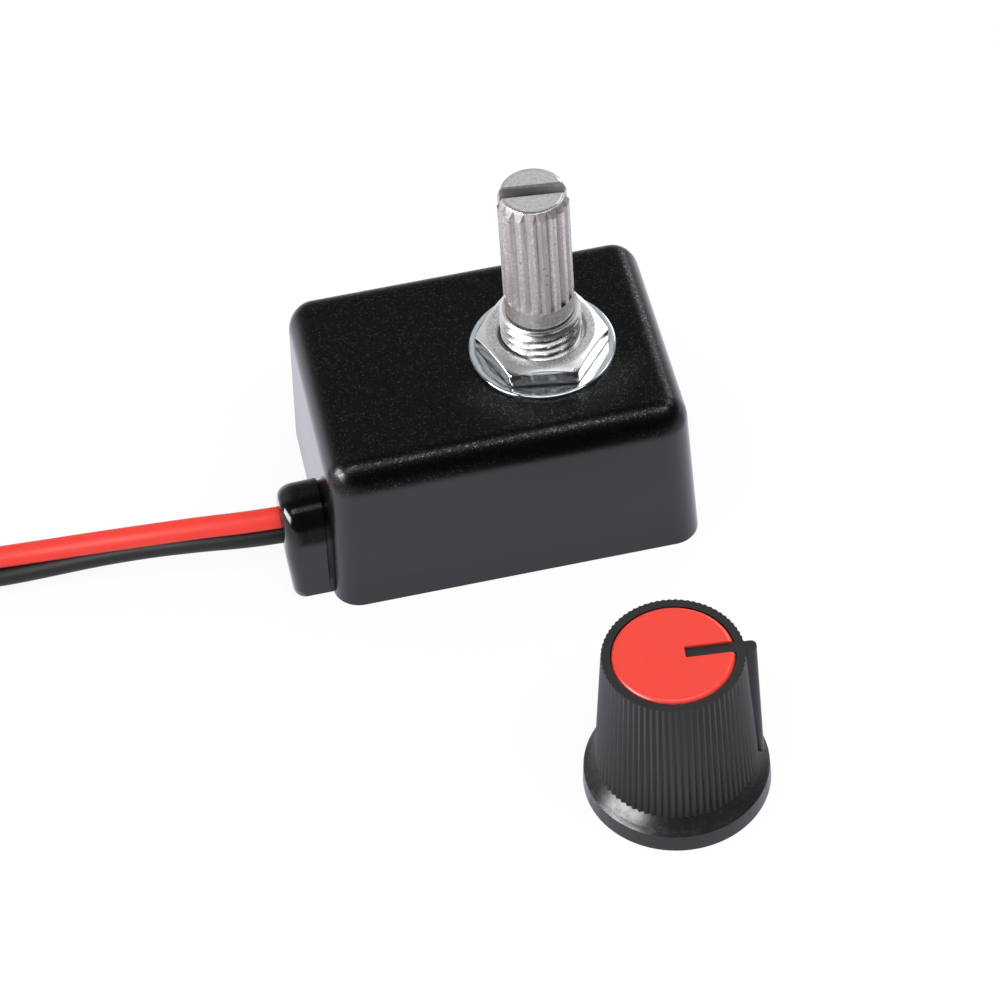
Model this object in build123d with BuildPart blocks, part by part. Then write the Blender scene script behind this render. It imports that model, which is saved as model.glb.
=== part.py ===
from build123d import *
import os
from math import cos, pi, radians, sin, sqrt, tan

os.makedirs("parts", exist_ok=True)

# Rotary LED dimmer: a small moulded case that holds a knurled-shaft potentiometer.
# Two stacked leads leave through a gland, and the push-on knob stands beside the case.
# The origin is the middle of the case's underside, +X runs along the case, +Z is up.

# Case
case_length = 32.5
case_depth = 23.7
case_height = 16.0
case_draft = 2.4
case_corner = 2.4
case_top_round = 2.2
case_wall = 1.5
case_roof = 1.5
cover_thick = 1.5
cover_ledge = 0.7
cover_gap = 0.1

# Shaft axis, from the case's right end and from its front
axis_from_end = 11.25
axis_from_front = 11.15

# Potentiometer bush and flange
bush_d = 7.0
bush_rise = 6.5
bush_hole_gap = 0.1
bush_chamfer = 0.25
flange_thick = 1.2
claw_step = 0.5
claw_seat = 1.2
hub_d = 7.6
hub_rise = 1.0

# Shaft, from the rotor end up to the slotted tip
shaft_length = 20.0
journal_d = 4.8
journal_gap = 0.05
collar_d = 5.96
collar_gap = 0.2
knurl_d = 6.0
knurl_length = 11.6
knurl_depth = 0.32
knurl_teeth = 18
knurl_land = 0.35
tip_d = 5.32
tip_chamfer = 0.9
slot_width = 1.1
slot_depth = 1.4
rest_turn = -6.5
spigot_d = 4.0
spigot_flats = 3.2
spigot_gap = 0.03
rivet_d = 4.8
rivet_rise = 0.5

# Retaining clip in the shaft's groove
clip_d = 7.4
clip_thick = 0.5
clip_gap = 0.1
clip_play = 0.05
clip_mouth = 2.6
groove_d = 3.8

# Track board, contacts and terminals
wafer_thick = 1.5
wafer_hole_gap = 0.2
wafer_margin = 0.7
tongue_reach = 10.8
tongue_width = 13.2
tongue_corner = 0.8
track_outer_d = 12.8
track_width = 1.3
track_thick = 0.1
track_sweep = 264.0
track_pad = 1.4
ring_gap = 0.5
ring_thick = 0.2
lug_pitch = 5.0
lug_width = 2.2
lug_thick = 0.4
lug_track_gap = 0.12
lug_reach = 12.0
lug_drop = 4.6
lug_eye_d = 1.2
lug_eye_up = 1.1
eyelet_d = 1.6
eyelet_head_d = 2.1
eyelet_head = 0.3
eyelet_gap = 0.05
eyelet_reach = 9.65

# Rotor and wiper
rotor_inset = 0.4
rotor_thick = 1.3
rotor_hub_d = 6.8
wiper_space = 1.2
shoulder_drop = 0.3
stop_tab = 0.9
stop_tab_width = 2.4
stop_range = 300.0
stop_spare = 1.0
wiper_thick = 0.2
wiper_width = 4.0
wiper_contact_gap = 0.1
finger_width = 0.5
finger_run = 2.6

# Rear can
can_wall = 0.4
can_gap = 0.1
can_clear = 0.4
claw_angles = (-105.0, -35.0, 35.0, 105.0)
claw_width = 3.0
claw_thick = 0.4

# Washer and nut on the bush
washer_d = 12.7
washer_thick = 0.4
washer_edge = 0.15
nut_flats = 10.0
nut_thick = 1.9
nut_turn = -10.0
nut_crown = 9.3
nut_crown_rise = 0.5
nut_sink = 0.35
thread_gap = 0.05

# Wire gland on the case's left end
gland_y = -6.95
gland_width = 6.0
gland_bottom = 0.3
gland_top = 10.3
gland_round = 2.2
gland_reach = 3.75
gland_end_round = 1.2
gland_edge = 0.15
gland_recess = 0.5
gland_recess_depth = 0.25
gland_neck_width = 4.2
gland_neck_top = 9.1
gland_neck_round = 1.2
gland_gap = 0.1
gland_seat_gap = 0.02
gland_flange = 1.2
gland_flange_lip = 0.4

# Leads
wire_d = 1.9
wire_gap = 0.05
core_d = 0.9
solder_d = 1.8
red_z = 7.8

# Knob, standing on the same surface as the case
knob_x = 7.9
knob_y = -36.4
knob_turn = -5.4
knob_height = 15.7
skirt_d = 15.6
skirt_top_d = 15.4
skirt_rise = 2.0
skirt_edge = 0.35
rib_start = 2.9
rib_base_d = 13.48
rib_top_d = 11.64
rib_depth = 0.2
rib_top_depth = 0.1
rib_count = 72
knob_wall = 0.9
knob_hub_d = 8.6
knob_bore_d = 6.1
knob_bore_depth = 12.6
knob_hollow_depth = 11.6
knob_web = 0.9
knob_web_count = 4
knob_foot = 0.4
pointer_width = 1.05
pointer_start = 1.0
pointer_tip = 6.73
pointer_foot = 7.3
pointer_round = 0.45
cap_d = 10.1
cap_seat = 1.2
cap_gap = 0.05
cap_proud = 0.2
cap_edge = 0.5

# Coil of the leads' spare length and its tie
coil_x = -57.5
coil_y = 10.8
coil_start_r = 11.4
coil_pitch = 2.0
coil_turns = 1.62
coil_lift = 0.35
tail_r = 6.0
tail_turn = 90.0
bare_length = 5.0
tie_gap = 0.3
tie_width = 3.0
tie_angle = 75.0

# Heights worked out from the case's roof downwards
draft_slope = tan(radians(case_draft))
mount_z = case_height - case_roof
flange_z = mount_z - flange_thick
hub_z = flange_z - hub_rise
wafer_z = flange_z - wafer_thick
clip_top = hub_z - clip_gap
clip_z = clip_top - clip_thick
shoulder_z = clip_z - shoulder_drop
rotor_top = wafer_z - wiper_space
rotor_z = rotor_top - rotor_thick
shaft_end_z = rotor_z - rivet_rise
can_floor = shaft_end_z - can_clear
can_z = can_floor - can_wall

# Heights worked out from the case's roof upwards
bush_top = mount_z + bush_rise
washer_top = case_height + washer_thick
nut_top = washer_top + nut_thick
tip_z = mount_z + shaft_length
knurl_z = tip_z - knurl_length
slot_z = tip_z - slot_depth

# Places and radii that neighbours share
axis_x = case_length / 2 - axis_from_end
axis_y = axis_from_front - case_depth / 2
flange_d = track_outer_d + 2 * wafer_margin
rotor_d = track_outer_d - 2 * rotor_inset
track_inner_d = track_outer_d - 2 * track_width
ring_outer_d = track_inner_d - 2 * ring_gap
track_mid_r = (track_outer_d - track_width) / 2
finger_clear_r = track_mid_r + finger_width / 2 + lug_track_gap
lug_pad_v = lug_pitch - lug_width / 2
lug_inner = sqrt(finger_clear_r ** 2 - lug_pad_v ** 2)
can_inner_r = flange_d / 2 + can_gap
can_outer_r = can_inner_r + can_wall
claw_seat_r = flange_d / 2 - claw_seat
wafer_hole_r = hub_d / 2 + wafer_hole_gap
bush_hole_r = bush_d / 2 + bush_hole_gap
knurl_r = knurl_d / 2

shaft_axis = Axis((axis_x, axis_y, 0), (0, 0, 1))
shaft_section = Plane(origin=(axis_x, axis_y, 0), x_dir=(1, 0, 0), z_dir=(0, -1, 0))


def shaft_plane(z, turn=0.0):
    """Horizontal plane on the shaft's axis at height z, turned about the axis."""
    return Plane(origin=(axis_x, axis_y, z), x_dir=(cos(radians(turn)), sin(radians(turn)), 0))


def ring_sector(inner_r, outer_r, middle, sweep):
    """Corner points of a ring sector: the outer arc's three points, then the inner arc's."""
    angles = [radians(middle + sweep * share) for share in (-0.5, 0.0, 0.5)]
    outer = [(outer_r * cos(a), outer_r * sin(a)) for a in angles]
    inner = [(inner_r * cos(a), inner_r * sin(a)) for a in reversed(angles)]
    return outer, inner


def case_outline(height, inset, corner):
    """Length, depth and corner radius of the drafted case at a height, set in by inset."""
    shrink = 2 * (inset + height * draft_slope)
    return case_length - shrink, case_depth - shrink, corner


# Gland plane: on the left wall's outer face, normal to it, x to the front and y up the wall
wall_lean = radians(case_draft)
gland_plane = Plane(
    origin=(-case_length / 2, gland_y, 0),
    x_dir=(0, -1, 0),
    z_dir=(-cos(wall_lean), 0, sin(wall_lean)),
)
gland_normal_wall = case_wall * cos(wall_lean)

# Moulded case, open underneath, with the bush hole, the cover ledge and the gland's slot
inner_corner = case_corner - case_wall
with BuildPart() as housing:
    with BuildSketch():
        RectangleRounded(*case_outline(0, 0, case_corner))
    with BuildSketch(Plane.XY.offset(case_height)):
        RectangleRounded(*case_outline(case_height, 0, case_corner))
    loft(ruled=True)
    fillet(housing.faces().sort_by(Axis.Z)[-1].edges(), case_top_round)
    with BuildSketch():
        RectangleRounded(*case_outline(0, case_wall, inner_corner))
    with BuildSketch(Plane.XY.offset(mount_z)):
        RectangleRounded(*case_outline(mount_z, case_wall, inner_corner))
    loft(ruled=True, mode=Mode.SUBTRACT)
    with BuildSketch():
        RectangleRounded(*case_outline(0, case_wall - cover_ledge, case_corner - case_wall + cover_ledge))
    extrude(amount=cover_thick, mode=Mode.SUBTRACT)
    with BuildSketch(shaft_plane(mount_z)):
        Circle(bush_hole_r)
    extrude(amount=case_roof, mode=Mode.SUBTRACT)
    with BuildSketch(gland_plane) as slot_outline:
        with Locations((0, gland_neck_top / 2)):
            Rectangle(gland_neck_width + 2 * gland_gap, gland_neck_top + 2 * gland_gap)
        fillet(slot_outline.vertices().group_by(Axis.Y)[-1], gland_neck_round)
    extrude(amount=2 * case_wall, both=True, mode=Mode.SUBTRACT)
housing.part.label = "housing"
export_step(housing.part, "parts/housing.step")

# Base cover, flush with the underside, with a tab that closes the gland slot's mouth
with BuildPart() as base_cover:
    cover_inset = case_wall - cover_ledge + cover_gap
    with BuildSketch():
        RectangleRounded(*case_outline(cover_thick, cover_inset, case_corner - case_wall + cover_ledge))
    extrude(amount=cover_thick)
    with BuildSketch():
        with Locations((-case_length / 2 + cover_thick * draft_slope, gland_y)):
            Rectangle(2 * case_wall, gland_neck_width, align=(Align.MIN, Align.CENTER))
    extrude(amount=cover_thick - cover_gap)
base_cover.part.label = "base_cover"
export_step(base_cover.part, "parts/base_cover.step")

# Gland: end block, recess against the wall, neck through the slot, flange inside
black_z = red_z - wire_d - wire_gap
with BuildPart() as wire_gland:
    gland_mid = (gland_bottom + gland_top) / 2
    gland_tall = gland_top - gland_bottom
    gland_layers = (
        (gland_recess, gland_reach, 0.0),
        (gland_seat_gap, gland_recess, gland_recess_depth),
    )
    for start, end, inset in gland_layers:
        with BuildSketch(gland_plane.offset(start)) as layer:
            with Locations((0, gland_mid)):
                Rectangle(gland_width - 2 * inset, gland_tall - 2 * inset)
            fillet(layer.vertices().group_by(Axis.Y)[-1], gland_round - inset)
        extrude(amount=end - start)
        if not inset:
            block_ends = wire_gland.faces().sort_by(Axis.X)
            fillet(block_ends[0].edges().sort_by(Axis.Z)[1:], gland_end_round)
            fillet(block_ends[-1].edges().sort_by(Axis.Z)[1:], gland_edge)
    flange_start = -gland_normal_wall - gland_gap
    neck_bottom = cover_thick + 2 * gland_gap
    with BuildSketch(gland_plane.offset(gland_seat_gap)) as neck:
        with Locations((0, neck_bottom)):
            Rectangle(gland_neck_width, gland_neck_top - neck_bottom, align=(Align.CENTER, Align.MIN))
        fillet(neck.vertices().group_by(Axis.Y)[-1], gland_neck_round)
    extrude(amount=flange_start - gland_seat_gap)
    with BuildSketch(gland_plane.offset(flange_start)) as flange_outline:
        with Locations((0, neck_bottom + gland_gap)):
            flange_wide = gland_neck_width + 2 * gland_flange_lip
            flange_tall = gland_neck_top + gland_flange_lip - neck_bottom
            Rectangle(flange_wide, flange_tall, align=(Align.CENTER, Align.MIN))
        fillet(flange_outline.vertices().group_by(Axis.Y)[-1], gland_neck_round + gland_flange_lip)
    extrude(amount=-gland_flange)
    with BuildSketch(Plane.YZ.offset(-case_length / 2)):
        with Locations((gland_y, (red_z + black_z) / 2)):
            SlotCenterToCenter(red_z - black_z, wire_d + 2 * wire_gap, rotation=90)
    extrude(amount=gland_reach + 2 * case_wall, both=True, mode=Mode.SUBTRACT)
wire_gland.part.label = "wire_gland"
export_step(wire_gland.part, "parts/wire_gland.step")

# Threaded bush with its mounting flange and rear hub, bored for the shaft's journal
journal_bore_r = journal_d / 2 + journal_gap
with BuildPart() as pot_bush:
    with BuildSketch(shaft_section):
        with BuildLine():
            Polyline(
                (journal_bore_r, hub_z),
                (hub_d / 2, hub_z),
                (hub_d / 2, flange_z),
                (flange_d / 2, flange_z),
                (flange_d / 2, mount_z - claw_step),
                (claw_seat_r, mount_z - claw_step),
                (claw_seat_r, mount_z),
                (bush_d / 2, mount_z),
                (bush_d / 2, bush_top - bush_chamfer),
                (bush_d / 2 - bush_chamfer, bush_top),
                (journal_bore_r, bush_top),
                close=True,
            )
        make_face()
    revolve(axis=shaft_axis)
pot_bush.part.label = "pot_bush"
export_step(pot_bush.part, "parts/pot_bush.step")

# Shaft: peened end, flatted spigot, journal with the clip's groove, collar, knurl and slot
tooth_pitch = 2 * pi * knurl_r / knurl_teeth
groove_half = (tooth_pitch - knurl_land) / 2
root_r = knurl_r - knurl_depth
with BuildPart() as shaft:
    with BuildSketch(shaft_section):
        with BuildLine():
            Polyline(
                (0, shaft_end_z),
                (rivet_d / 2, shaft_end_z),
                (rivet_d / 2, rotor_z),
                (spigot_d / 2, rotor_z),
                (spigot_d / 2, shoulder_z),
                (journal_d / 2, shoulder_z),
                (journal_d / 2, clip_z - clip_play),
                (groove_d / 2, clip_z - clip_play),
                (groove_d / 2, clip_top + clip_play),
                (journal_d / 2, clip_top + clip_play),
                (journal_d / 2, bush_top + collar_gap),
                (collar_d / 2, bush_top + collar_gap),
                (collar_d / 2, knurl_z),
                (knurl_r, knurl_z),
                (knurl_r, tip_z - tip_chamfer),
                (tip_d / 2, tip_z),
                (0, tip_z),
                close=True,
            )
        make_face()
    revolve(axis=shaft_axis)
    with BuildSketch(shaft_plane(knurl_z, rest_turn)):
        with PolarLocations(0, knurl_teeth, start_angle=180 / knurl_teeth):
            Polygon((root_r, 0), (knurl_r, -groove_half), (knurl_r + knurl_depth, -groove_half),
                    (knurl_r + knurl_depth, groove_half), (knurl_r, groove_half), align=None)
    extrude(amount=knurl_length, mode=Mode.SUBTRACT)
    with BuildSketch(shaft_plane(slot_z, rest_turn)):
        Rectangle(knurl_d + knurl_depth, slot_width)
    extrude(amount=slot_depth, mode=Mode.SUBTRACT)
    with BuildSketch(shaft_plane(rotor_z, rest_turn)):
        Circle(spigot_d)
        Rectangle(2 * spigot_d, spigot_flats, mode=Mode.SUBTRACT)
    extrude(amount=shoulder_z - rotor_z, mode=Mode.SUBTRACT)
shaft.part.label = "shaft"
export_step(shaft.part, "parts/shaft.step")

# Retaining clip, an open ring in the shaft's groove behind the bush
with BuildPart() as retaining_clip:
    with BuildSketch(shaft_plane(clip_z, rest_turn)):
        Circle(clip_d / 2)
        Circle(groove_d / 2 + clip_play, mode=Mode.SUBTRACT)
        Rectangle(clip_d, clip_mouth, align=(Align.MIN, Align.CENTER), mode=Mode.SUBTRACT)
    extrude(amount=clip_thick)
retaining_clip.part.label = "retaining_clip"
export_step(retaining_clip.part, "parts/retaining_clip.step")

# Rotor on the flatted spigot, with the tab that meets the can's stop at each end of the turn
with BuildPart() as rotor:
    with BuildSketch(shaft_plane(rotor_z, rest_turn)):
        Circle(rotor_d / 2)
        with Locations((rotor_d / 2 - stop_tab, 0)):
            Rectangle(2 * stop_tab, stop_tab_width, align=(Align.MIN, Align.CENTER))
    extrude(amount=rotor_thick)
    with BuildSketch(shaft_plane(rotor_z, rest_turn)):
        Circle(rotor_hub_d / 2)
    extrude(amount=shoulder_z - rotor_z)
    with BuildSketch(shaft_plane(rotor_z, rest_turn)):
        Circle(spigot_d / 2 + spigot_gap)
        Rectangle(2 * spigot_d, spigot_flats + 2 * spigot_gap, mode=Mode.INTERSECT)
    extrude(amount=shoulder_z - rotor_z, mode=Mode.SUBTRACT)
rotor.part.label = "rotor"
export_step(rotor.part, "parts/rotor.step")

# Wiper: a sprung plate on the rotor with one finger for the track and one for the ring
ring_mid_r = (wafer_hole_r + ring_outer_d / 2) / 2
track_face = wafer_z - track_thick
ring_face = wafer_z - ring_thick
plate_inner_r = rotor_hub_d / 2 + wiper_contact_gap
plate_outer_r = rotor_d / 2 - wiper_contact_gap
with BuildPart() as wiper:
    with BuildSketch(shaft_plane(rotor_top, rest_turn)):
        with Locations((plate_inner_r, 0)):
            Rectangle(plate_outer_r - plate_inner_r, wiper_width, align=(Align.MIN, Align.CENTER))
    extrude(amount=wiper_thick)
    for finger_r, contact in ((track_mid_r, track_face), (ring_mid_r, ring_face)):
        finger_top = contact - wiper_contact_gap - rotor_top
        rest_out = Vector(cos(radians(rest_turn)), sin(radians(rest_turn)), 0)
        finger_origin = Vector(axis_x, axis_y, rotor_top) + rest_out * finger_r
        with BuildSketch(Plane(origin=finger_origin, x_dir=(-rest_out.Y, rest_out.X, 0), z_dir=rest_out)):
            with BuildLine():
                Polyline(
                    (-wiper_width / 2, 0),
                    (-wiper_width / 2 + wiper_thick, 0),
                    (finger_run / 2, finger_top - wiper_thick),
                    (finger_run / 2 + finger_width, finger_top - wiper_thick),
                    (finger_run / 2 + finger_width, finger_top),
                    (finger_run / 2, finger_top),
                    (-wiper_width / 2, wiper_thick),
                    close=True,
                )
            make_face()
        extrude(amount=finger_width / 2, both=True)
wiper.part.label = "wiper"
export_step(wiper.part, "parts/wiper.step")

# Track board: a round board with a tongue for the terminals, clear of the bush's hub
with BuildPart() as track_wafer:
    with BuildSketch(shaft_plane(wafer_z)) as board:
        Circle(flange_d / 2)
        Rectangle(tongue_reach, tongue_width, align=(Align.MAX, Align.CENTER))
        fillet(board.vertices().group_by(Axis.X)[0], tongue_corner)
        Circle(wafer_hole_r, mode=Mode.SUBTRACT)
        with Locations(*[(-eyelet_reach, side * lug_pitch) for side in (-1, 0, 1)]):
            Circle(eyelet_d / 2 + eyelet_gap, mode=Mode.SUBTRACT)
    extrude(amount=wafer_thick)
track_wafer.part.label = "track_wafer"
export_step(track_wafer.part, "parts/track_wafer.step")

# Carbon track: a thin open ring on the board's underside, facing the wiper
with BuildPart() as carbon_track:
    with BuildSketch(shaft_plane(wafer_z - track_thick)):
        with BuildLine():
            outer_arc, inner_arc = ring_sector(track_inner_d / 2, track_outer_d / 2, 0, track_sweep)
            ThreePointArc(*outer_arc)
            Line(outer_arc[-1], inner_arc[0])
            ThreePointArc(*inner_arc)
            Line(inner_arc[-1], outer_arc[0])
        make_face()
        pad_end = track_inner_d / 2 * cos(radians(track_sweep / 2))
        with Locations((-lug_inner, -lug_pitch), (-lug_inner, lug_pitch)):
            Rectangle(lug_inner + pad_end, track_pad, align=(Align.MIN, Align.CENTER))
    extrude(amount=track_thick)
carbon_track.part.label = "carbon_track"
export_step(carbon_track.part, "parts/carbon_track.step")

# Three terminals: a strip under the board's tongue, bent down to an eye for the lead
lug_names = {-1: "terminal_low", 0: "terminal_wiper", 1: "terminal_high"}
lug_z = wafer_z - lug_drop
for side, lug_name in lug_names.items():
    inner_reach = lug_inner if side else finger_clear_r
    with BuildPart() as terminal:
        with BuildSketch(shaft_plane(wafer_z - lug_thick)):
            with Locations((-lug_reach, side * lug_pitch)):
                Rectangle(lug_reach - inner_reach, lug_width, align=(Align.MIN, Align.CENTER))
            with Locations((-eyelet_reach, side * lug_pitch)):
                Circle(eyelet_d / 2 + eyelet_gap, mode=Mode.SUBTRACT)
        extrude(amount=lug_thick)
        with BuildSketch(shaft_plane(lug_z)):
            with Locations((-lug_reach, side * lug_pitch)):
                Rectangle(lug_thick, lug_width, align=(Align.MIN, Align.CENTER))
        extrude(amount=lug_drop)
        eye_plane = Plane(
            origin=(axis_x - lug_reach, axis_y + side * lug_pitch, lug_z + lug_eye_up),
            x_dir=(0, 1, 0),
            z_dir=(1, 0, 0),
        )
        with BuildSketch(eye_plane):
            Circle(lug_eye_d / 2)
        extrude(amount=lug_thick, mode=Mode.SUBTRACT)
        if side == 0:
            with BuildSketch(shaft_plane(wafer_z - ring_thick)):
                Circle(ring_outer_d / 2)
                Rectangle(finger_clear_r, lug_width, align=(Align.MAX, Align.CENTER))
                Circle(wafer_hole_r, mode=Mode.SUBTRACT)
            extrude(amount=ring_thick)
    terminal.part.label = lug_name
    export_step(terminal.part, f"parts/{lug_name}.step")

# Eyelets that clamp the terminals to the board's tongue
with BuildPart() as terminal_eyelets:
    eyelet_spots = [(-eyelet_reach, side * lug_pitch) for side in lug_names]
    eyelet_bottom = wafer_z - lug_thick
    for start, height, diameter in (
        (eyelet_bottom - eyelet_head, eyelet_head, eyelet_head_d),
        (eyelet_bottom, lug_thick + wafer_thick, eyelet_d),
        (flange_z, eyelet_head, eyelet_head_d),
    ):
        with BuildSketch(shaft_plane(start)):
            with Locations(*eyelet_spots):
                Circle(diameter / 2)
        extrude(amount=height)
terminal_eyelets.part.label = "terminal_eyelets"
export_step(terminal_eyelets.part, "parts/terminal_eyelets.step")

# Rear can: a drawn cup with a window for the tongue, a stop and claws over the flange
claw_z = mount_z - claw_step
tab_half = stop_tab_width / 2 / (rotor_d / 2)
stop_half = radians((360 - stop_range) / 2 - stop_spare) - tab_half
stop_inner_r = rotor_d / 2 + stop_tab / 3
window_half = tongue_width / 2 + 2 * can_gap
with BuildPart() as pot_can:
    with BuildSketch(shaft_plane(can_z)):
        Circle(can_outer_r)
    extrude(amount=claw_z - can_z)
    with BuildSketch(shaft_plane(can_floor)):
        Circle(can_inner_r)
    extrude(amount=claw_z - can_floor, mode=Mode.SUBTRACT)
    with BuildSketch(shaft_plane(can_floor)):
        with BuildLine():
            outer_arc, inner_arc = ring_sector(stop_inner_r, can_outer_r, 180, 2 * stop_half * 180 / pi)
            ThreePointArc(*outer_arc)
            Line(outer_arc[-1], inner_arc[0])
            ThreePointArc(*inner_arc)
            Line(inner_arc[-1], outer_arc[0])
        make_face()
    extrude(amount=rotor_top - can_floor)
    with BuildSketch(shaft_plane(wafer_z - lug_thick - can_gap)):
        Rectangle(can_outer_r, 2 * window_half, align=(Align.MAX, Align.CENTER))
    extrude(amount=claw_z, mode=Mode.SUBTRACT)
    for claw_angle in claw_angles:
        with BuildSketch(shaft_plane(claw_z)):
            with BuildLine():
                claw_sweep = claw_width / can_outer_r * 180 / pi
                outer_arc, inner_arc = ring_sector(claw_seat_r + can_gap, can_outer_r, claw_angle, claw_sweep)
                ThreePointArc(*outer_arc)
                Line(outer_arc[-1], inner_arc[0])
                ThreePointArc(*inner_arc)
                Line(inner_arc[-1], outer_arc[0])
            make_face()
        extrude(amount=claw_thick)
pot_can.part.label = "pot_can"
export_step(pot_can.part, "parts/pot_can.step")

# Flat washer with a rounded rim, on the case's roof
with BuildPart() as bush_washer:
    with BuildSketch(shaft_plane(case_height)):
        Circle(washer_d / 2)
        Circle(bush_hole_r, mode=Mode.SUBTRACT)
    extrude(amount=washer_thick)
    fillet(bush_washer.edges().filter_by(GeomType.CIRCLE).sort_by(SortBy.RADIUS)[-2:], washer_edge)
bush_washer.part.label = "bush_washer"
export_step(bush_washer.part, "parts/bush_washer.step")

# Hexagon nut, its upper corners crowned by a cone
nut_corner_r = nut_flats / sqrt(3)
nut_bore_r = bush_d / 2 + thread_gap
with BuildPart() as bush_nut:
    with BuildSketch(shaft_plane(washer_top)):
        RegularPolygon(nut_flats / 2, 6, major_radius=False, rotation=nut_turn)
        Circle(nut_bore_r, mode=Mode.SUBTRACT)
    extrude(amount=nut_thick)
    with BuildSketch(shaft_section):
        with BuildLine():
            Polyline(
                (0, washer_top),
                (nut_corner_r, washer_top),
                (nut_corner_r, nut_top - nut_crown_rise),
                (nut_crown / 2, nut_top),
                (nut_bore_r + nut_sink, nut_top),
                (nut_bore_r, nut_top - nut_sink),
                (0, nut_top - nut_sink),
                close=True,
            )
        make_face()
    revolve(axis=shaft_axis, mode=Mode.INTERSECT)
bush_nut.part.label = "bush_nut"
export_step(bush_nut.part, "parts/bush_nut.step")

# Knob: skirt, ribbed cone, pointer ridge, cap seat, hollow underside with hub and webs
knob_axis = Axis((knob_x, knob_y, 0), (0, 0, 1))
pointer_dir = (cos(radians(knob_turn)), sin(radians(knob_turn)), 0)
knob_section = Plane(
    origin=(knob_x, knob_y, 0),
    x_dir=pointer_dir,
    z_dir=(pointer_dir[1], -pointer_dir[0], 0),
)
cap_floor = knob_height - cap_seat
hollow_top = knob_hollow_depth
rib_slope = (rib_base_d - rib_top_d) / 2 / (knob_height - rib_start)
hollow_base_r = rib_base_d / 2 - rib_depth - knob_wall
hollow_top_r = hollow_base_r - rib_slope * (hollow_top - rib_start)
skirt_inner_r = skirt_d / 2 - knob_wall


def knob_plane(z):
    """Horizontal plane on the knob's axis at height z, with x towards the pointer."""
    return Plane(origin=(knob_x, knob_y, z), x_dir=pointer_dir)


def rib_outline(crest_r, depth):
    """Outline of the ribbed cone: crests and valleys in turn around the circle."""
    step = pi / rib_count
    radii = [crest_r - depth * (k % 2) for k in range(2 * rib_count)]
    return [(r * cos(k * step), r * sin(k * step)) for k, r in enumerate(radii)]


with BuildPart() as knob_body:
    with BuildSketch(knob_section):
        with BuildLine():
            Polyline(
                (0, 0),
                (skirt_d / 2, 0),
                (skirt_top_d / 2, skirt_rise - skirt_edge),
                (skirt_top_d / 2 - skirt_edge, skirt_rise),
                (rib_base_d / 2 - rib_depth, rib_start),
                (0, rib_start),
                close=True,
            )
        make_face()
    revolve(axis=knob_axis)
    with BuildSketch(knob_plane(rib_start)):
        Polygon(*rib_outline(rib_base_d / 2, rib_depth), align=None)
    with BuildSketch(knob_plane(knob_height)):
        Polygon(*rib_outline(rib_top_d / 2, rib_top_depth), align=None)
    loft(ruled=True)
    with BuildSketch(knob_plane(cap_floor)):
        Circle(cap_d / 2)
    extrude(amount=cap_seat, mode=Mode.SUBTRACT)
    with BuildSketch(knob_plane(cap_floor)):
        with Locations((pointer_start, 0)):
            Rectangle(rib_top_d / 2 - pointer_start, pointer_width, align=(Align.MIN, Align.CENTER))
    extrude(amount=cap_seat)
    for ridge_z, ridge_inner, ridge_outer in (
        (skirt_rise, hollow_base_r + knob_wall / 2, pointer_foot),
        (knob_height, cap_d / 2, pointer_tip),
    ):
        with BuildSketch(knob_plane(ridge_z)) as ridge:
            with Locations((ridge_inner, 0)):
                Rectangle(ridge_outer - ridge_inner, pointer_width, align=(Align.MIN, Align.CENTER))
            fillet(ridge.vertices().group_by(Axis.X)[-1], pointer_round)
    loft(ruled=True)
    with BuildSketch(knob_section):
        with BuildLine():
            Polyline(
                (0, 0),
                (skirt_inner_r, 0),
                (skirt_inner_r, skirt_rise - knob_wall),
                (hollow_base_r, rib_start - knob_wall),
                (hollow_top_r, hollow_top),
                (knob_hub_d / 2, hollow_top),
                (knob_hub_d / 2, knob_foot),
                (0, knob_foot),
                close=True,
            )
        make_face()
    revolve(axis=knob_axis, mode=Mode.SUBTRACT)
    web_start = knob_hub_d / 2 - knob_wall
    for turn in range(knob_web_count):
        for web_z, inner_r in ((rib_start, hollow_base_r), (hollow_top, hollow_top_r)):
            with BuildSketch(knob_plane(web_z).rotated((0, 0, turn * 360 / knob_web_count))):
                with Locations((web_start, 0)):
                    Rectangle(inner_r + knob_wall / 2 - web_start, knob_web, align=(Align.MIN, Align.CENTER))
        loft(ruled=True)
    with BuildSketch(knob_plane(0)):
        Circle(knob_bore_d / 2)
    extrude(amount=knob_bore_depth, mode=Mode.SUBTRACT)
knob_body.part.label = "knob_body"
export_step(knob_body.part, "parts/knob_body.step")

# Cap inlay, notched round the pointer bar
with BuildPart() as knob_cap:
    with BuildSketch(knob_plane(cap_floor)):
        Circle(cap_d / 2 - cap_gap)
        with Locations((pointer_start - cap_gap, 0)):
            Rectangle(cap_d, pointer_width + 2 * cap_gap, align=(Align.MIN, Align.CENTER), mode=Mode.SUBTRACT)
    extrude(amount=cap_seat + cap_proud)
    cap_rim = knob_cap.faces().sort_by(Axis.Z)[-1].edges().filter_by(GeomType.CIRCLE)
    fillet(cap_rim, cap_edge)
knob_cap.part.label = "knob_cap"
export_step(knob_cap.part, "parts/knob_cap.step")

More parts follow.
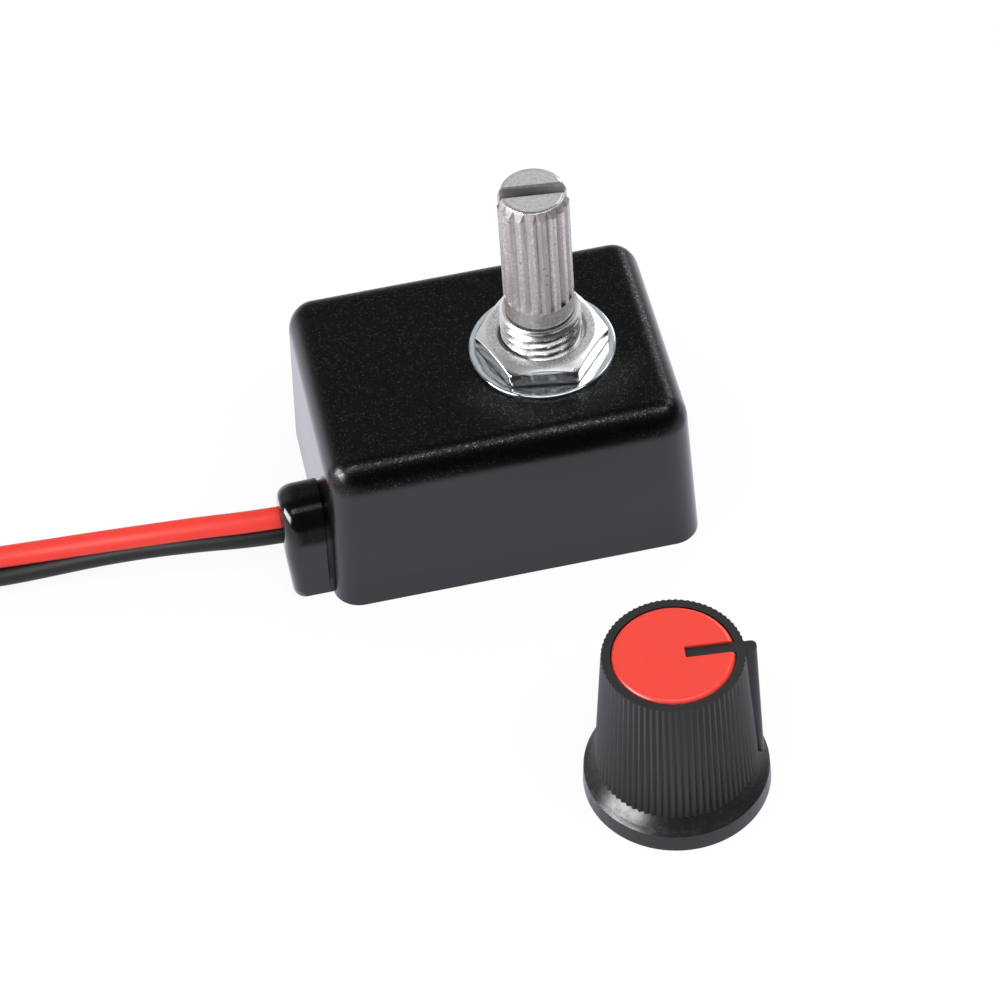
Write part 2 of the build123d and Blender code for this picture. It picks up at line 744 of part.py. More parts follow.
# Leads. Each route's points are in order along the wire.
gland_mouth = -case_length / 2 + red_z * draft_slope - gland_reach - gland_gap
flange_mouth = -case_length / 2 + case_wall + gland_flange + gland_gap
red_eye = Vector(axis_x - lug_reach, axis_y - lug_pitch, lug_z + lug_eye_up)
black_eye = Vector(axis_x - lug_reach, axis_y, lug_z + lug_eye_up)
lead_room = red_eye.X - flange_mouth
red_turn = Vector(flange_mouth + 0.2 * lead_room, gland_y, red_z)
black_turn = Vector(flange_mouth + 0.3 * lead_room, gland_y, black_z)
black_rise = black_eye - Vector(0.5 * lead_room, 1.4 * wire_d, 0.9 * wire_d)
strip_length = 0.28 * lead_room
red_strip = red_eye + (red_turn - red_eye).normalized() * strip_length
black_strip = black_eye + (black_rise - black_eye).normalized() * strip_length
red_coil_z = coil_lift + 1.5 * wire_d + wire_gap
black_coil_z = coil_lift + wire_d / 2
inner_routes = {
    "red_inner_lead": [Vector(gland_mouth, gland_y, red_z), red_turn, red_strip],
    "black_inner_lead": [Vector(gland_mouth, gland_y, black_z), black_turn, black_rise, black_strip],
}
free_routes = {
    "red_wire": [
        Vector(gland_mouth - wire_gap, gland_y, red_z),
        Vector(-22.4, -6.83, 7.78),
        Vector(-26.7, -5.95, 7.3),
        Vector(-31.2, -4.85, 6.4),
        Vector(-35.7, -3.62, 5.35),
        Vector(-40.2, -2.5, 4.35),
        Vector(-44.7, -1.57, 3.6),
        Vector(-48.2, -1.08, 3.35),
        Vector(-51.0, -0.82, red_coil_z),
    ],
    "black_wire": [
        Vector(gland_mouth - wire_gap, gland_y, black_z),
        Vector(-22.4, -6.82, 5.83),
        Vector(-26.7, -5.75, 5.33),
        Vector(-31.2, -4.51, 4.45),
        Vector(-35.7, -3.42, 3.4),
        Vector(-40.2, -2.6, 2.33),
        Vector(-44.7, -1.93, 1.53),
        Vector(-48.2, -1.3, 1.35),
        Vector(-51.0, -0.88, black_coil_z),
    ],
}


def bend_radii(points):
    """Largest bend at each inner point: 0.45 of the shorter run over the half turn's tangent."""
    radii = []
    for before, here, after in zip(points, points[1:], points[2:]):
        run_in = here - before
        run_out = after - here
        half_turn = radians(run_in.get_angle(run_out)) / 2
        radii.append(0.45 * min(run_in.length, run_out.length) / tan(half_turn))
    return radii


for lead_name, route in {**inner_routes, **free_routes}.items():
    lead_radii = bend_radii(route)
    print(lead_name, "bend radii", [round(radius, 1) for radius in lead_radii])
    with BuildPart() as lead:
        with BuildLine() as lead_path:
            FilletPolyline(*route, radius=lead_radii)
        with BuildSketch(Plane(origin=route[0], z_dir=lead_path.line % 0)):
            Circle(wire_d / 2)
        sweep()
    lead_length = lead_path.wire().length
    lead_ratio = lead.part.volume / (pi * wire_d ** 2 / 4 * lead_length)
    print(lead_name, "length", round(lead_length, 2), "volume ratio", round(lead_ratio, 4))
    lead.part.label = lead_name
    export_step(lead.part, f"parts/{lead_name}.step")

# Solder joints: a dome on each used terminal with the lead's bare strands running into it
with BuildPart() as solder_joints:
    for eye, strip in ((red_eye, red_strip), (black_eye, black_strip)):
        with BuildSketch(Plane(origin=eye, x_dir=(0, 1, 0), z_dir=(-1, 0, 0))):
            Circle(solder_d / 2)
        extrude(amount=solder_d / 2, taper=25)
        with BuildSketch(Plane(origin=strip, z_dir=eye - strip)):
            Circle(core_d / 2)
        extrude(amount=strip_length - core_d / 2)
solder_joints.part.label = "solder_joints"
export_step(solder_joints.part, "parts/solder_joints.step")

# Coils: each lead's spare length is a flat spiral, red above black, shown as a plain ring
coil_end_r = coil_start_r - coil_pitch * coil_turns
coil_inner_r = coil_end_r - wire_d / 2
coil_outer_r = coil_start_r + wire_d / 2
end_angle = radians(-90 - 360 * coil_turns)
for coil_name, coil_middle_z in (("red_coil", red_coil_z), ("black_coil", black_coil_z)):
    with BuildPart() as coil:
        with BuildSketch(Plane(origin=(coil_x, coil_y, coil_middle_z - wire_d / 2))):
            Circle(coil_outer_r)
            Circle(coil_inner_r, mode=Mode.SUBTRACT)
        extrude(amount=wire_d)
    coil.part.label = coil_name
    export_step(coil.part, f"parts/{coil_name}.step")

# Bare tinned ends: the tail curls inwards from the spiral's end, then runs straight
tail_centre = Vector(cos(end_angle), sin(end_angle), 0) * (coil_end_r - tail_r)
tail_angle = end_angle - radians(tail_turn)
tail_end = tail_centre + Vector(cos(tail_angle), sin(tail_angle), 0) * tail_r
tail_dir = Vector(sin(tail_angle), -cos(tail_angle), 0)
for tip_name, coil_middle_z in (("red_tip", red_coil_z), ("black_tip", black_coil_z)):
    with BuildPart() as tip:
        with BuildSketch(Plane(origin=tail_end + Vector(coil_x, coil_y, coil_middle_z), z_dir=tail_dir)):
            Circle(core_d / 2)
        extrude(amount=bare_length)
    tip.part.label = tip_name
    export_step(tip.part, f"parts/{tip_name}.step")

# Tie: a flat band round both coils, lying on the surface under them
tie_tall = red_coil_z + wire_d / 2 + coil_lift
tie_middle_r = (coil_inner_r + coil_outer_r) / 2
tie_inside = coil_outer_r - coil_inner_r + 2 * tie_gap
tie_out = (cos(radians(tie_angle)), sin(radians(tie_angle)), 0)
tie_plane = Plane(
    origin=(coil_x + tie_middle_r * tie_out[0], coil_y + tie_middle_r * tie_out[1], tie_tall / 2),
    x_dir=tie_out,
    z_dir=(tie_out[1], -tie_out[0], 0),
)
with BuildPart() as coil_tie:
    with BuildSketch(tie_plane):
        RectangleRounded(tie_inside + 2 * coil_lift, tie_tall, 2 * coil_lift)
        RectangleRounded(tie_inside, tie_tall - 2 * coil_lift, tie_gap / 2, mode=Mode.SUBTRACT)
    extrude(amount=tie_width / 2, both=True)
coil_tie.part.label = "coil_tie"
export_step(coil_tie.part, "parts/coil_tie.step")
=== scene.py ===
"""Looks of a rotary LED dimmer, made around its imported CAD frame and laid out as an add-on."""

import math

import bmesh
import bpy
import numpy as np
from mathutils import Matrix, Vector


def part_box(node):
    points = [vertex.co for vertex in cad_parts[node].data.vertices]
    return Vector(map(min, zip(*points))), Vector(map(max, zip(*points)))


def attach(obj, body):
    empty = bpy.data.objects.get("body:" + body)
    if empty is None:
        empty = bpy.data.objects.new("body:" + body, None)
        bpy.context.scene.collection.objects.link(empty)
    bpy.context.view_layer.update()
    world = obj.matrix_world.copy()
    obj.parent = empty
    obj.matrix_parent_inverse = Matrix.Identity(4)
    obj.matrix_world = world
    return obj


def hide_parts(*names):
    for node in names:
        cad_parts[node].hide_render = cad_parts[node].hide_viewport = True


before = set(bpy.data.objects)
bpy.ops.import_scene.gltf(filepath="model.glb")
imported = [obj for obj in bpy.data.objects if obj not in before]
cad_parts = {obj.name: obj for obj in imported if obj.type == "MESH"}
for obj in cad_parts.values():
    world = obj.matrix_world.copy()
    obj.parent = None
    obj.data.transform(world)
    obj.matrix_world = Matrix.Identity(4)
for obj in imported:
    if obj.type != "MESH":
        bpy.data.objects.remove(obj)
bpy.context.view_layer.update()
MM = 0.001

bl_info = {
    "name": "Rotary Dimmer Looks",
    "version": (1, 0, 0),
    "blender": (4, 5, 0),
    "location": "View3D > Sidebar > Dimmer",
    "description": "Dresses the CAD frame of a rotary dimmer with its finishes, threads, leads and stage",
    "category": "Object",
}


def mm(value):
    """Millimetres to Blender's metres."""
    return value * MM


def node_middle(node):
    """Middle of a CAD node's box, as an array in metres."""
    low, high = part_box(node)
    return (np.array(low) + np.array(high)) / 2


SHAFT_X, SHAFT_Y = node_middle("bush_washer")[:2]
COIL_X, COIL_Y = node_middle("red_coil")[:2]
KNOB_X, KNOB_Y = node_middle("knob_cap")[:2]
# Turn of the shaft's slot at rest, and the radius of the case's and the washer's hole
SLOT_TURN, BUSH_HOLE = math.radians(-6.5), mm(3.6)


def length(name, description, default):
    """A length property in metres, for the sidebar."""
    return bpy.props.FloatProperty(
        name=name, description=description, default=default, precision=5, subtype="DISTANCE", unit="LENGTH"
    )


def tint(name, description, default):
    """A colour property, for the sidebar."""
    return bpy.props.FloatVectorProperty(
        name=name, description=description, default=default, size=3, min=0, max=1, subtype="COLOR"
    )


def share(name, description, default):
    """A plain number property, for the sidebar."""
    return bpy.props.FloatProperty(name=name, description=description, default=default, precision=3)


class CaseSettings(bpy.types.PropertyGroup):
    """Shape and finish of the moulded case, its cover and the wire gland."""

    corner: length("Corner", "Radius of the upright corners", mm(2.4))
    edge_in: length("Edge inward", "How far the top edge's round reaches inward", mm(2.2))
    edge_down: length("Edge downward", "How far the top edge's round reaches down", mm(2.7))
    draft: bpy.props.FloatProperty(
        name="Draft", description="Lean of the walls", default=math.radians(2.4), subtype="ANGLE"
    )
    wall: length("Wall", "Thickness of the walls and the roof", mm(1.5))
    gland_in: length("Gland arch inward", "How far the gland's arch reaches inward", mm(2.7))
    gland_down: length("Gland arch downward", "How far the gland's arch reaches down", mm(3.4))
    gland_nose: length("Gland nose", "Length of the gland's rounded outer end", mm(1.25))
    nose_side: length("Nose sides", "How far the nose rounds in from the gland's sides", mm(1.35))
    nose_top: length("Nose top", "How far the nose rounds in from the gland's top", mm(0.7))
    gland_step: length("Gland step", "Width of the set-back band beside the wall", mm(0.35))
    gland_sunk: length("Gland set-back", "How far that band is set back", mm(0.25))
    side_colour: tint("Sides", "Smooth moulded sides", (0.0105, 0.0095, 0.0115))
    # The top's colour is the sides' plastic darkened as painted shade; its spark-eroded grain is real.
    shaded_top_colour: tint("Top", "Spark-eroded top", (0.0013, 0.0013, 0.0018))
    grain: length("Grain", "Size of the top's erosion pits", mm(0.11))
    grain_depth: length("Grain depth", "Depth of the top's erosion pits", mm(0.009))
    grain_start: length("Grain start", "Height where the texture begins on the ends", mm(14.9))
    grain_full: length("Grain full", "Height where the texture is full on the ends", mm(15.95))
    grain_drop: length("Grain drop", "How much lower the texture begins on the front", mm(2.0))


class MetalSettings(bpy.types.PropertyGroup):
    """Sizes and finishes of the bush, nut, washer and shaft."""

    thread_pitch: length("Pitch", "Rise of the bush's thread in one turn", mm(0.85))
    thread_depth: length("Thread depth", "Crest to root of the bush's thread", mm(0.42))
    nut_flats: length("Nut flats", "Width of the nut across its flats", mm(10.0))
    nut_crown: length("Nut crown", "Diameter of the nut's flat top", mm(9.2))
    shaft_tip: length("Shaft tip", "Height of the shaft's end face", mm(34.5))
    knurl_foot: length("Knurl foot", "Height where the shaft's knurl begins", mm(22.9))
    shaft_colour: tint("Shaft", "Turned aluminium", (0.85, 0.82, 0.81))
    bush_colour: tint("Bush", "Dull nickel plating of the bush", (0.79, 0.79, 0.79))
    plate_colour: tint("Nut", "Bright zinc plating of the nut", (0.9, 0.91, 0.93))
    washer_colour: tint("Washer", "Bluish zinc plating of the washer", (0.74, 0.81, 0.87))


class LeadSettings(bpy.types.PropertyGroup):
    """Leads, their coil and their insulation."""

    diameter: length("Diameter", "Outside diameter of each lead", mm(1.9))
    coil_radius: length("Coil radius", "Outermost turn, at the wire's middle", mm(11.4))
    coil_pitch: length("Coil pitch", "How far a turn closes in", mm(2.0))
    coil_turns: share("Coil turns", "Turns of each lead in the coil", 1.62)
    red: tint("Red", "Red insulation", (1.0, 0.048, 0.032))
    black: tint("Black", "Black insulation", (0.012, 0.012, 0.013))


class KnobSettings(bpy.types.PropertyGroup):
    """Finish of the knob and its cap."""

    body_colour: tint("Body", "Ribbed body", (0.0108, 0.0102, 0.0118))
    cap_colour: tint("Cap", "Cap inlay", (0.95, 0.053, 0.032))
    skirt_top: length("Skirt top", "Height where the glossier skirt ends and the ribs begin", mm(2.9))
    rib_radius: length("Rib radius", "Radius over the ribs at their foot", mm(6.74))
    rib_lean: share("Rib lean", "How much the ribs' radius falls per height", 0.0719)


class StageSettings(bpy.types.PropertyGroup):
    """Floor, light and camera."""

    floor_white: share("Floor white", "Share of the floor's own white that the camera sees", 0.88)
    floor_edge: length("Floor edge", "Where the floor's reflection ends towards the viewer", mm(-80))
    floor_full: length("Floor full", "Where the floor's reflection is full", mm(-28))
    ambient: share("Ambient", "World light on matt surfaces", 0.72)
    ceiling: share("Ceiling", "Brightness of the room above the horizon in reflections", 0.04)
    back_wall: share("Back wall", "Brightness of the room's far side in reflections", 0.54)
    horizon: share("Horizon", "Height up to which the white backdrop fades, as a share of the zenith", 0.16)
    top_power: share("Top lamp", "Power of the overhead softbox in watts", 1.5)
    left_power: share("Left lamp", "Power of the low softbox at the left in watts", 4.2)
    right_power: share("Right lamp", "Power of the softbox behind at the right in watts", 0.5)
    back_power: share("Back lamp", "Power of the low softbox behind at the right in watts", 0.6)
    lens: share("Lens", "Focal length in millimetres on a 36 mm sensor", 137.796)


class Socket:
    """An output socket of a node tree. Arithmetic on it adds Math nodes to the tree."""

    def __init__(self, tree, out=None):
        self.tree = tree
        self.out = out

    def node(self, kind, settings=None, sockets=None, out=0):
        """Adds a node of a kind, sets its settings first, then fills its sockets by value or link."""
        made = self.tree.nodes.new("ShaderNode" + kind)
        for key, value in (settings or {}).items():
            setattr(made, key, value)
        for key, value in (sockets or {}).items():
            if isinstance(value, Socket):
                self.tree.links.new(value.out, made.inputs[key])
            else:
                made.inputs[key].default_value = value
        return Socket(self.tree, made.outputs[out] if made.outputs else None)

    def math(self, operation, first, second=0.0):
        """A Math node on two values or sockets."""
        return self.node("Math", {"operation": operation}, {0: first, 1: second})

    def __add__(self, other):
        return self.math("ADD", self, other)

    def __sub__(self, other):
        return self.math("SUBTRACT", self, other)

    def __mul__(self, other):
        return self.math("MULTIPLY", self, other)

    def __pow__(self, other):
        return self.math("POWER", self, other)

    def __gt__(self, other):
        return self.math("GREATER_THAN", self, other)

    def __lt__(self, other):
        return self.math("LESS_THAN", self, other)

    def __rsub__(self, other):
        return self.math("SUBTRACT", other, self)

    __radd__ = __add__
    __rmul__ = __mul__

    def ramp(self, low, high):
        """0 below low, 1 above high, smooth between."""
        settings = {"interpolation_type": "SMOOTHSTEP"}
        return self.node("MapRange", settings, {"Value": self, "From Min": low, "From Max": high})

    def mix(self, first, second):
        """Colour mix from first to second with this socket as the factor."""
        sockets = {0: self}
        for key, colour in ((6, first), (7, second)):
            sockets[key] = colour if isinstance(colour, Socket) else (*colour, 1)
        return self.node("Mix", {"data_type": "RGBA"}, sockets, out=2)

    def place(self):
        """The surface's own Object coordinates."""
        return self.node("TexCoord", out="Object")

    def parts(self):
        """X, Y and Z of a vector socket."""
        split = self.node("SeparateXYZ", sockets={0: self})
        return [Socket(self.tree, out) for out in split.out.node.outputs]

    def scaled(self, scale):
        """The vector, scaled by axis."""
        return self.node("Mapping", sockets={"Vector": self, "Scale": scale})

    def noise(self, size, detail=2.0, roughness=0.5):
        """Noise of a grain size in metres, on this vector."""
        sockets = {"Vector": self, "Scale": 1 / size, "Detail": detail, "Roughness": roughness}
        return self.node("TexNoise", sockets=sockets)

    def cells(self, size, out="Distance"):
        """Voronoi cells of a size in metres, on this vector."""
        return self.node("TexVoronoi", sockets={"Vector": self, "Scale": 1 / size}, out=out)

    def bump(self, depth, strength=1.0):
        """Normal of a surface whose height is this socket times a depth in metres."""
        return self.node("Bump", sockets={"Height": self, "Distance": depth, "Strength": strength})


def finish(name, build, **fixed):
    """A Principled material. Fixed values go on its sockets, and build gives what varies over the surface."""
    made = bpy.data.materials.new(name)
    made.use_nodes = True
    tree = made.node_tree
    shader = tree.nodes["Principled BSDF"]
    for key, value in fixed.items():
        shader.inputs[key.replace("_", " ")].default_value = value
    for key, value in build(Socket(tree)).items():
        tree.links.new(value.out, shader.inputs[key])
    return made


def shade(colour, level):
    """A colour at a share of its brightness."""
    return [part * level for part in colour]


def dress(material, *nodes):
    """Gives CAD nodes a material in their own slots."""
    for node in nodes:
        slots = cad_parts[node].data.materials
        slots.clear()
        slots.append(material)


def grid_faces(rows, columns, wrap_rows, wrap_columns):
    """Quads between neighbouring rows and columns of a grid, joined end to start where it wraps."""
    row = np.arange(rows if wrap_rows else rows - 1)
    column = np.arange(columns if wrap_columns else columns - 1)
    low, left = np.meshgrid(row, column, indexing="ij")
    high, right = (low + 1) % rows, (left + 1) % columns
    corners = [low * columns + left, low * columns + right, high * columns + right, high * columns + left]
    return np.stack(corners, axis=-1).reshape(-1, 4)


def surface(name, points, material, wrap_rows=False, wrap_columns=True, crease=35.0):
    """A mesh object from a grid of points (rows, columns, 3), closed where asked and smooth up to a crease."""
    rows, columns = points.shape[:2]
    mesh = bpy.data.meshes.new(name)
    mesh.from_pydata(points.reshape(-1, 3), [], grid_faces(rows, columns, wrap_rows, wrap_columns).tolist())
    shape = bmesh.new()
    shape.from_mesh(mesh)
    bmesh.ops.remove_doubles(shape, verts=shape.verts, dist=1e-7)
    bmesh.ops.recalc_face_normals(shape, faces=shape.faces)
    shape.to_mesh(mesh)
    shape.free()
    mesh.polygons.foreach_set("use_smooth", np.ones(len(mesh.polygons), dtype=bool))
    mesh.set_sharp_from_angle(angle=math.radians(crease))
    mesh.materials.append(material)
    made = bpy.data.objects.new(name, mesh)
    bpy.context.scene.collection.objects.link(made)
    return made


def turned(radius, height, centre_x, centre_y, turns):
    """Points of a turned surface: radius and height (rows, columns) carried round an upright axis."""
    radius, height = np.broadcast_arrays(radius, height)
    return np.stack(
        [centre_x + radius * np.cos(turns), centre_y + radius * np.sin(turns), height + 0 * turns], axis=-1
    )


def around(count):
    """Angles of the columns of a closed turned surface."""
    return np.linspace(0, 2 * math.pi, count, endpoint=False)[None, :]


def axis_distance(x, y):
    """Distance of a place's X and Y sockets from the shaft's axis."""
    return ((x - SHAFT_X) ** 2.0 + (y - SHAFT_Y) ** 2.0) ** 0.5


def moulded_case(settings):
    """Black case plastic: polished sides, a spark-eroded top with tiny flecks and painted shade, smoother
    where rubbed.
    """

    def build(start):
        place = start.place()
        x, y, z = place.parts()
        low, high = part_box("housing")
        front_y, end_x, top_z = low[1], high[0], high[2]
        front = y.ramp(front_y + mm(2.25), front_y + mm(1.25))
        top = (z + front * settings.grain_drop).ramp(settings.grain_start, settings.grain_full)
        pits = place.noise(settings.grain, detail=3.0, roughness=0.6)
        haze = place.noise(mm(5.0), detail=3.0)
        cell = place.cells(settings.grain, out="Color").parts()[0]
        spark, glitter = cell**12.0, cell**6.0
        polish = 0.62 + z.ramp(0.0, mm(6.0)) * 0.14 + haze * 0.14
        near_end = start.math("ABSOLUTE", x).ramp(end_x - mm(4.05), end_x - mm(2.05))
        corners = near_end * y.ramp(front_y + mm(3.65), front_y + mm(1.85))
        near_nut = axis_distance(x, y).ramp(mm(10.5), mm(6.4))
        around_nut = near_nut * y.ramp(SHAFT_Y - mm(1.8), SHAFT_Y - mm(5.3))
        edge = y.ramp(front_y + mm(3.05), front_y + mm(2.05)) * z.ramp(top_z - mm(1.0), top_z - mm(0.6))
        rubbed = corners * 0.32 + around_nut * (0.4 + glitter) + edge * (0.12 + glitter * 0.8)
        # Painted shade: the textured top takes the darker copy of the sides' colour.
        base = top.mix(settings.side_colour, settings.shaded_top_colour)
        return {
            "Base Color": haze.mix(base, shade(settings.shaded_top_colour, 0.8)),
            "Roughness": 0.18 + haze * 0.08 + top * (0.05 + pits * 0.12),
            "Coat Weight": (1.0 - top) * polish + top * (spark + rubbed),
            "Normal": (pits * top).bump(settings.grain_depth, 1.0),
        }

    return finish("case_plastic", build, Specular_IOR_Level=0.1, Coat_Roughness=0.25)


def moulded_gland(settings):
    """Smooth black gland plastic with a faint grain, duller on its top, glossier again on its outer end."""

    def build(start):
        place = start.place()
        haze = place.noise(mm(2.5), detail=3.0)
        x, _, z = place.parts()
        top = z.ramp(mm(6.3), mm(7.3)) * x.ramp(mm(-19.2), mm(-18.2))
        spark = place.cells(settings.grain, out="Color").parts()[0] ** 6.0
        return {
            "Base Color": haze.mix(settings.shaded_top_colour, shade(settings.side_colour, 0.5)),
            "Roughness": 0.13 + haze * 0.1,
            "Coat Weight": (1.0 - top) * (0.78 + x.ramp(mm(-19.0), mm(-19.8)) * 0.22) + top * spark * 0.3,
            "Normal": place.noise(mm(0.2), detail=2.0).bump(settings.grain_depth * 0.3, 0.6),
        }

    return finish("gland_plastic", build, Specular_IOR_Level=0.1, Coat_Roughness=0.14)


def turned_aluminium(settings):
    """Satin shaft: rolling streaks up the knurl, grime, pits, end-face tool rings, painted shade in grooves,
    pockets, slot.
    """

    def build(start):
        place = start.place()
        x, y, z = place.parts()
        tip, foot, metal = settings.shaft_tip, settings.knurl_foot, settings.shaft_colour
        along, aside = x - SHAFT_X, y - SHAFT_Y
        # The last two colours are painted shade for the slot.
        oxide, dirt, slot_shade_colour, dark = (0.32, 0.3, 0.31), (0.4, 0.36, 0.36), (0.15, 0.145, 0.12), (0.03, 0.03, 0.03)
        streaks = place.scaled((1, 1, 0.04)).noise(mm(0.3), detail=4.0, roughness=0.7)
        dirt_and_shade = place.noise(mm(1.1), detail=5.0, roughness=0.65).ramp(0.56, 0.76)
        pits = place.cells(mm(0.9)).ramp(0.2, 0.1) * (place.cells(mm(0.9), out="Color").parts()[0] > 0.45)
        spread = axis_distance(x, y)
        flecks = place.noise(mm(0.22), detail=4.0, roughness=0.7).ramp(0.3, 0.66)
        wobble = place.noise(mm(1.5), detail=2.0) * 5.0
        rings = start.math("SINE", spread * (2 * math.pi / mm(0.5)) + wobble)
        end = z.ramp(tip - mm(0.12), tip - mm(0.04))
        across = start.math("ABSOLUTE", aside * math.cos(SLOT_TURN) - along * math.sin(SLOT_TURN))
        slot = (across < mm(0.57)) * (z > tip - mm(1.405)) * (1.0 - end)
        taper = z.ramp(tip - mm(1.1), tip - mm(0.8))
        knurl = (z > foot - mm(0.03)) * (1.0 - end)
        groove_shade = spread.ramp(mm(2.93), mm(2.72)) * knurl
        # Painted shade in the pockets where the knurl's grooves end at its foot.
        pocket_shade = z.ramp(foot + mm(0.7), foot) * (spread < mm(2.95)) * knurl
        pocket_shade = pocket_shade * along.ramp(mm(-0.6), mm(0.4)) * place.noise(mm(1.6)).ramp(0.28, 0.44)
        lip = (1.0 - across.ramp(mm(0.55), mm(0.8)) * spread.ramp(mm(2.66), mm(2.44))) * end
        swirl = rings * end
        burr = z.ramp(tip - mm(0.26), tip - mm(0.18)) * (1.0 - slot)
        tone = streaks.ramp(0.36, 0.64)
        base = tone.mix(shade(metal, 0.64), shade(metal, 1.14))
        base = flecks.mix(base, shade(metal, 0.68))
        base = (taper * (1.0 - burr) * 0.6).mix(base, oxide)
        # Painted shade darkens the knurl's grooves.
        base = (groove_shade * 0.25).mix(base, shade(metal, 0.5))
        base = (dirt_and_shade * 0.45).mix(base, dirt)
        # Painted shade in the slot, darker deeper down, strongest left of the axis and fading towards both
        # ends.
        depth = z.ramp(tip - mm(0.85), tip - mm(1.1))
        slot_shade_fade = along.ramp(mm(2.4), mm(-0.6)) * along.ramp(mm(-2.8), mm(-2.0))
        base = (slot * (0.2 + slot_shade_fade * 0.5)).mix(base, slot_shade_colour)
        base = (slot * depth * (0.3 + slot_shade_fade * 0.5)).mix(base, dark)
        collar = z.ramp(foot, foot - mm(0.1))
        base = (collar * (0.2 + flecks * 0.5)).mix(base, shade(metal, 0.4))
        # Painted shade: the foot's pockets go near black.
        base = (pocket_shade * 0.9).mix(base, (0.03, 0.028, 0.025))
        base = (end * 0.5 - swirl * 0.3 - lip * 0.5).mix(base, (0.7, 0.73, 0.75))
        return {
            "Base Color": (pits * 0.5 * (1.0 - end)).mix(base, (0.16, 0.14, 0.13)),
            "Roughness": 0.4 + streaks * 0.14 + dirt_and_shade * 0.1 + taper * (1.0 - burr) * 0.26 - lip * 0.41,
            "Normal": (streaks * (1.0 - end) - pits * 0.4 - lip * 2.5 + swirl * 0.12).bump(mm(0.04), 0.6),
        }

    return finish("shaft_metal", build, Metallic=0.92)


def plated(name, colour, rough, cloud_size, root=0.0, mark=0.35, rings=0.0, foot=-1.0, dull=1.0, root_shade_top=1.0):
    """Bright plating: clouds, stains, marks and rings, and painted shade inside a root radius and below a
    foot.

    It is dull above one height, and above another height the root has no painted shade. A height that
    lies beyond the piece leaves its feature out.
    """

    def build(start):
        place = start.place()
        x, y, z = place.parts()
        spread = axis_distance(x, y)
        # Painted shade: dark inside the root radius up to a height, and below the foot.
        dirt_and_shade = spread.ramp(root, root - mm(0.16)) * z.ramp(root_shade_top, root_shade_top - mm(0.1))
        dirt_and_shade = start.math("MAXIMUM", dirt_and_shade, z.ramp(foot, foot - mm(0.12)))
        cloud = place.noise(cloud_size, detail=4.0, roughness=0.6)
        marks = place.noise(mm(0.12), detail=3.0, roughness=0.7)
        stain = place.noise(cloud_size * 0.4, detail=5.0, roughness=0.7).ramp(0.55, 0.75)
        warm = [part * level for part, level in zip(colour, (0.99, 0.96, 0.92))]
        base = cloud.ramp(0.4, 0.62).mix(colour, warm)
        base = (dirt_and_shade * 0.85).mix(base, shade(warm, 0.12))
        worn = z.ramp(dull - mm(0.3), dull)
        speckle = marks.ramp(0.42, 0.6) * z.ramp(dull + mm(0.16), dull + mm(0.24))
        base = (speckle * 0.8).mix(base, shade(colour, 0.5))
        ring = start.math("SINE", spread * (2 * math.pi / mm(0.55)) + cloud * 9.0).ramp(-0.2, 0.9)
        streak = ring * rings * (0.5 + (x - SHAFT_X).ramp(mm(-1.5), mm(-4.5)) * 0.5)
        base = streak.mix(base, shade(colour, 0.45))
        return {
            "Base Color": (stain * 0.45).mix(base, shade(colour, 0.5)),
            "Roughness": rough + cloud * 0.06 + stain * 0.2 + worn * 0.2,
            "Normal": (marks * (0.35 + worn * 0.65)).bump(mm(0.02), mark),
        }

    return finish(name, build, Metallic=1.0)


def knob_plastic(settings):
    """Knob plastic: satin ribs with painted shade in the grooves, a glossier and slightly dished skirt with
    specks of dust.
    """

    def build(start):
        place = start.place()
        x, y, z = place.parts()
        skirt = z.ramp(settings.skirt_top + mm(0.2), settings.skirt_top - mm(0.1))
        spread = ((x - KNOB_X) ** 2.0 + (y - KNOB_Y) ** 2.0) ** 0.5
        crest = settings.rib_radius - (z - settings.skirt_top) * settings.rib_lean
        low_down = 0.3 + z.ramp(mm(10.0), mm(3.5)) * 0.7
        groove_shade = (crest - spread).ramp(mm(0.04), mm(0.15)) * (1.0 - skirt) * low_down
        haze = place.noise(mm(3.0), detail=3.0)
        dust = place.noise(mm(0.25), detail=2.0).ramp(0.7, 0.76) * skirt
        dish = spread.ramp(mm(6.95), mm(7.65)) * skirt
        scuff = place.noise(mm(0.7), detail=5.0, roughness=0.65).ramp(0.46, 0.66) * skirt
        body = haze.mix(settings.body_colour, shade(settings.body_colour, 1.5))
        # Painted shade darkens the grooves between the ribs, more towards the bottom.
        body = (groove_shade * 0.9).mix(body, (0.001, 0.001, 0.001))
        return {
            "Base Color": (dust * 0.3).mix(body, (0.2, 0.2, 0.2)),
            "Roughness": 0.3 + haze * 0.1 - skirt * 0.08 + scuff * 0.12 + groove_shade * 0.25,
            "Normal": (place.noise(mm(0.18), detail=3.0) + dish * 12.0).bump(mm(0.012), 0.35),
        }

    return finish("knob_plastic", build, Specular_IOR_Level=0.5)


def cap_plastic(settings):
    """Satin red cap with a fine moulded texture."""

    def build(start):
        place = start.place()
        haze = place.noise(mm(2.2), detail=3.0)
        deeper = shade(settings.cap_colour, 0.9)
        return {
            "Base Color": haze.mix(settings.cap_colour, deeper),
            "Roughness": 0.3 + haze * 0.1,
            "Normal": place.noise(mm(0.15), detail=2.0).bump(mm(0.008), 0.25),
        }

    return finish("cap_plastic", build, Specular_IOR_Level=0.5)


def insulation(name, colour):
    """Extruded insulation: satin, with long faint waves."""

    def build(start):
        place = start.place()
        waves = place.scaled((0.25, 1, 1)).noise(mm(0.5), detail=3.0)
        deeper = shade(colour, 0.86)
        return {
            "Base Color": waves.mix(colour, deeper),
            "Roughness": 0.4 + waves * 0.14,
            "Normal": waves.bump(mm(0.02), 0.3),
        }

    return finish(name, build, Specular_IOR_Level=0.3)


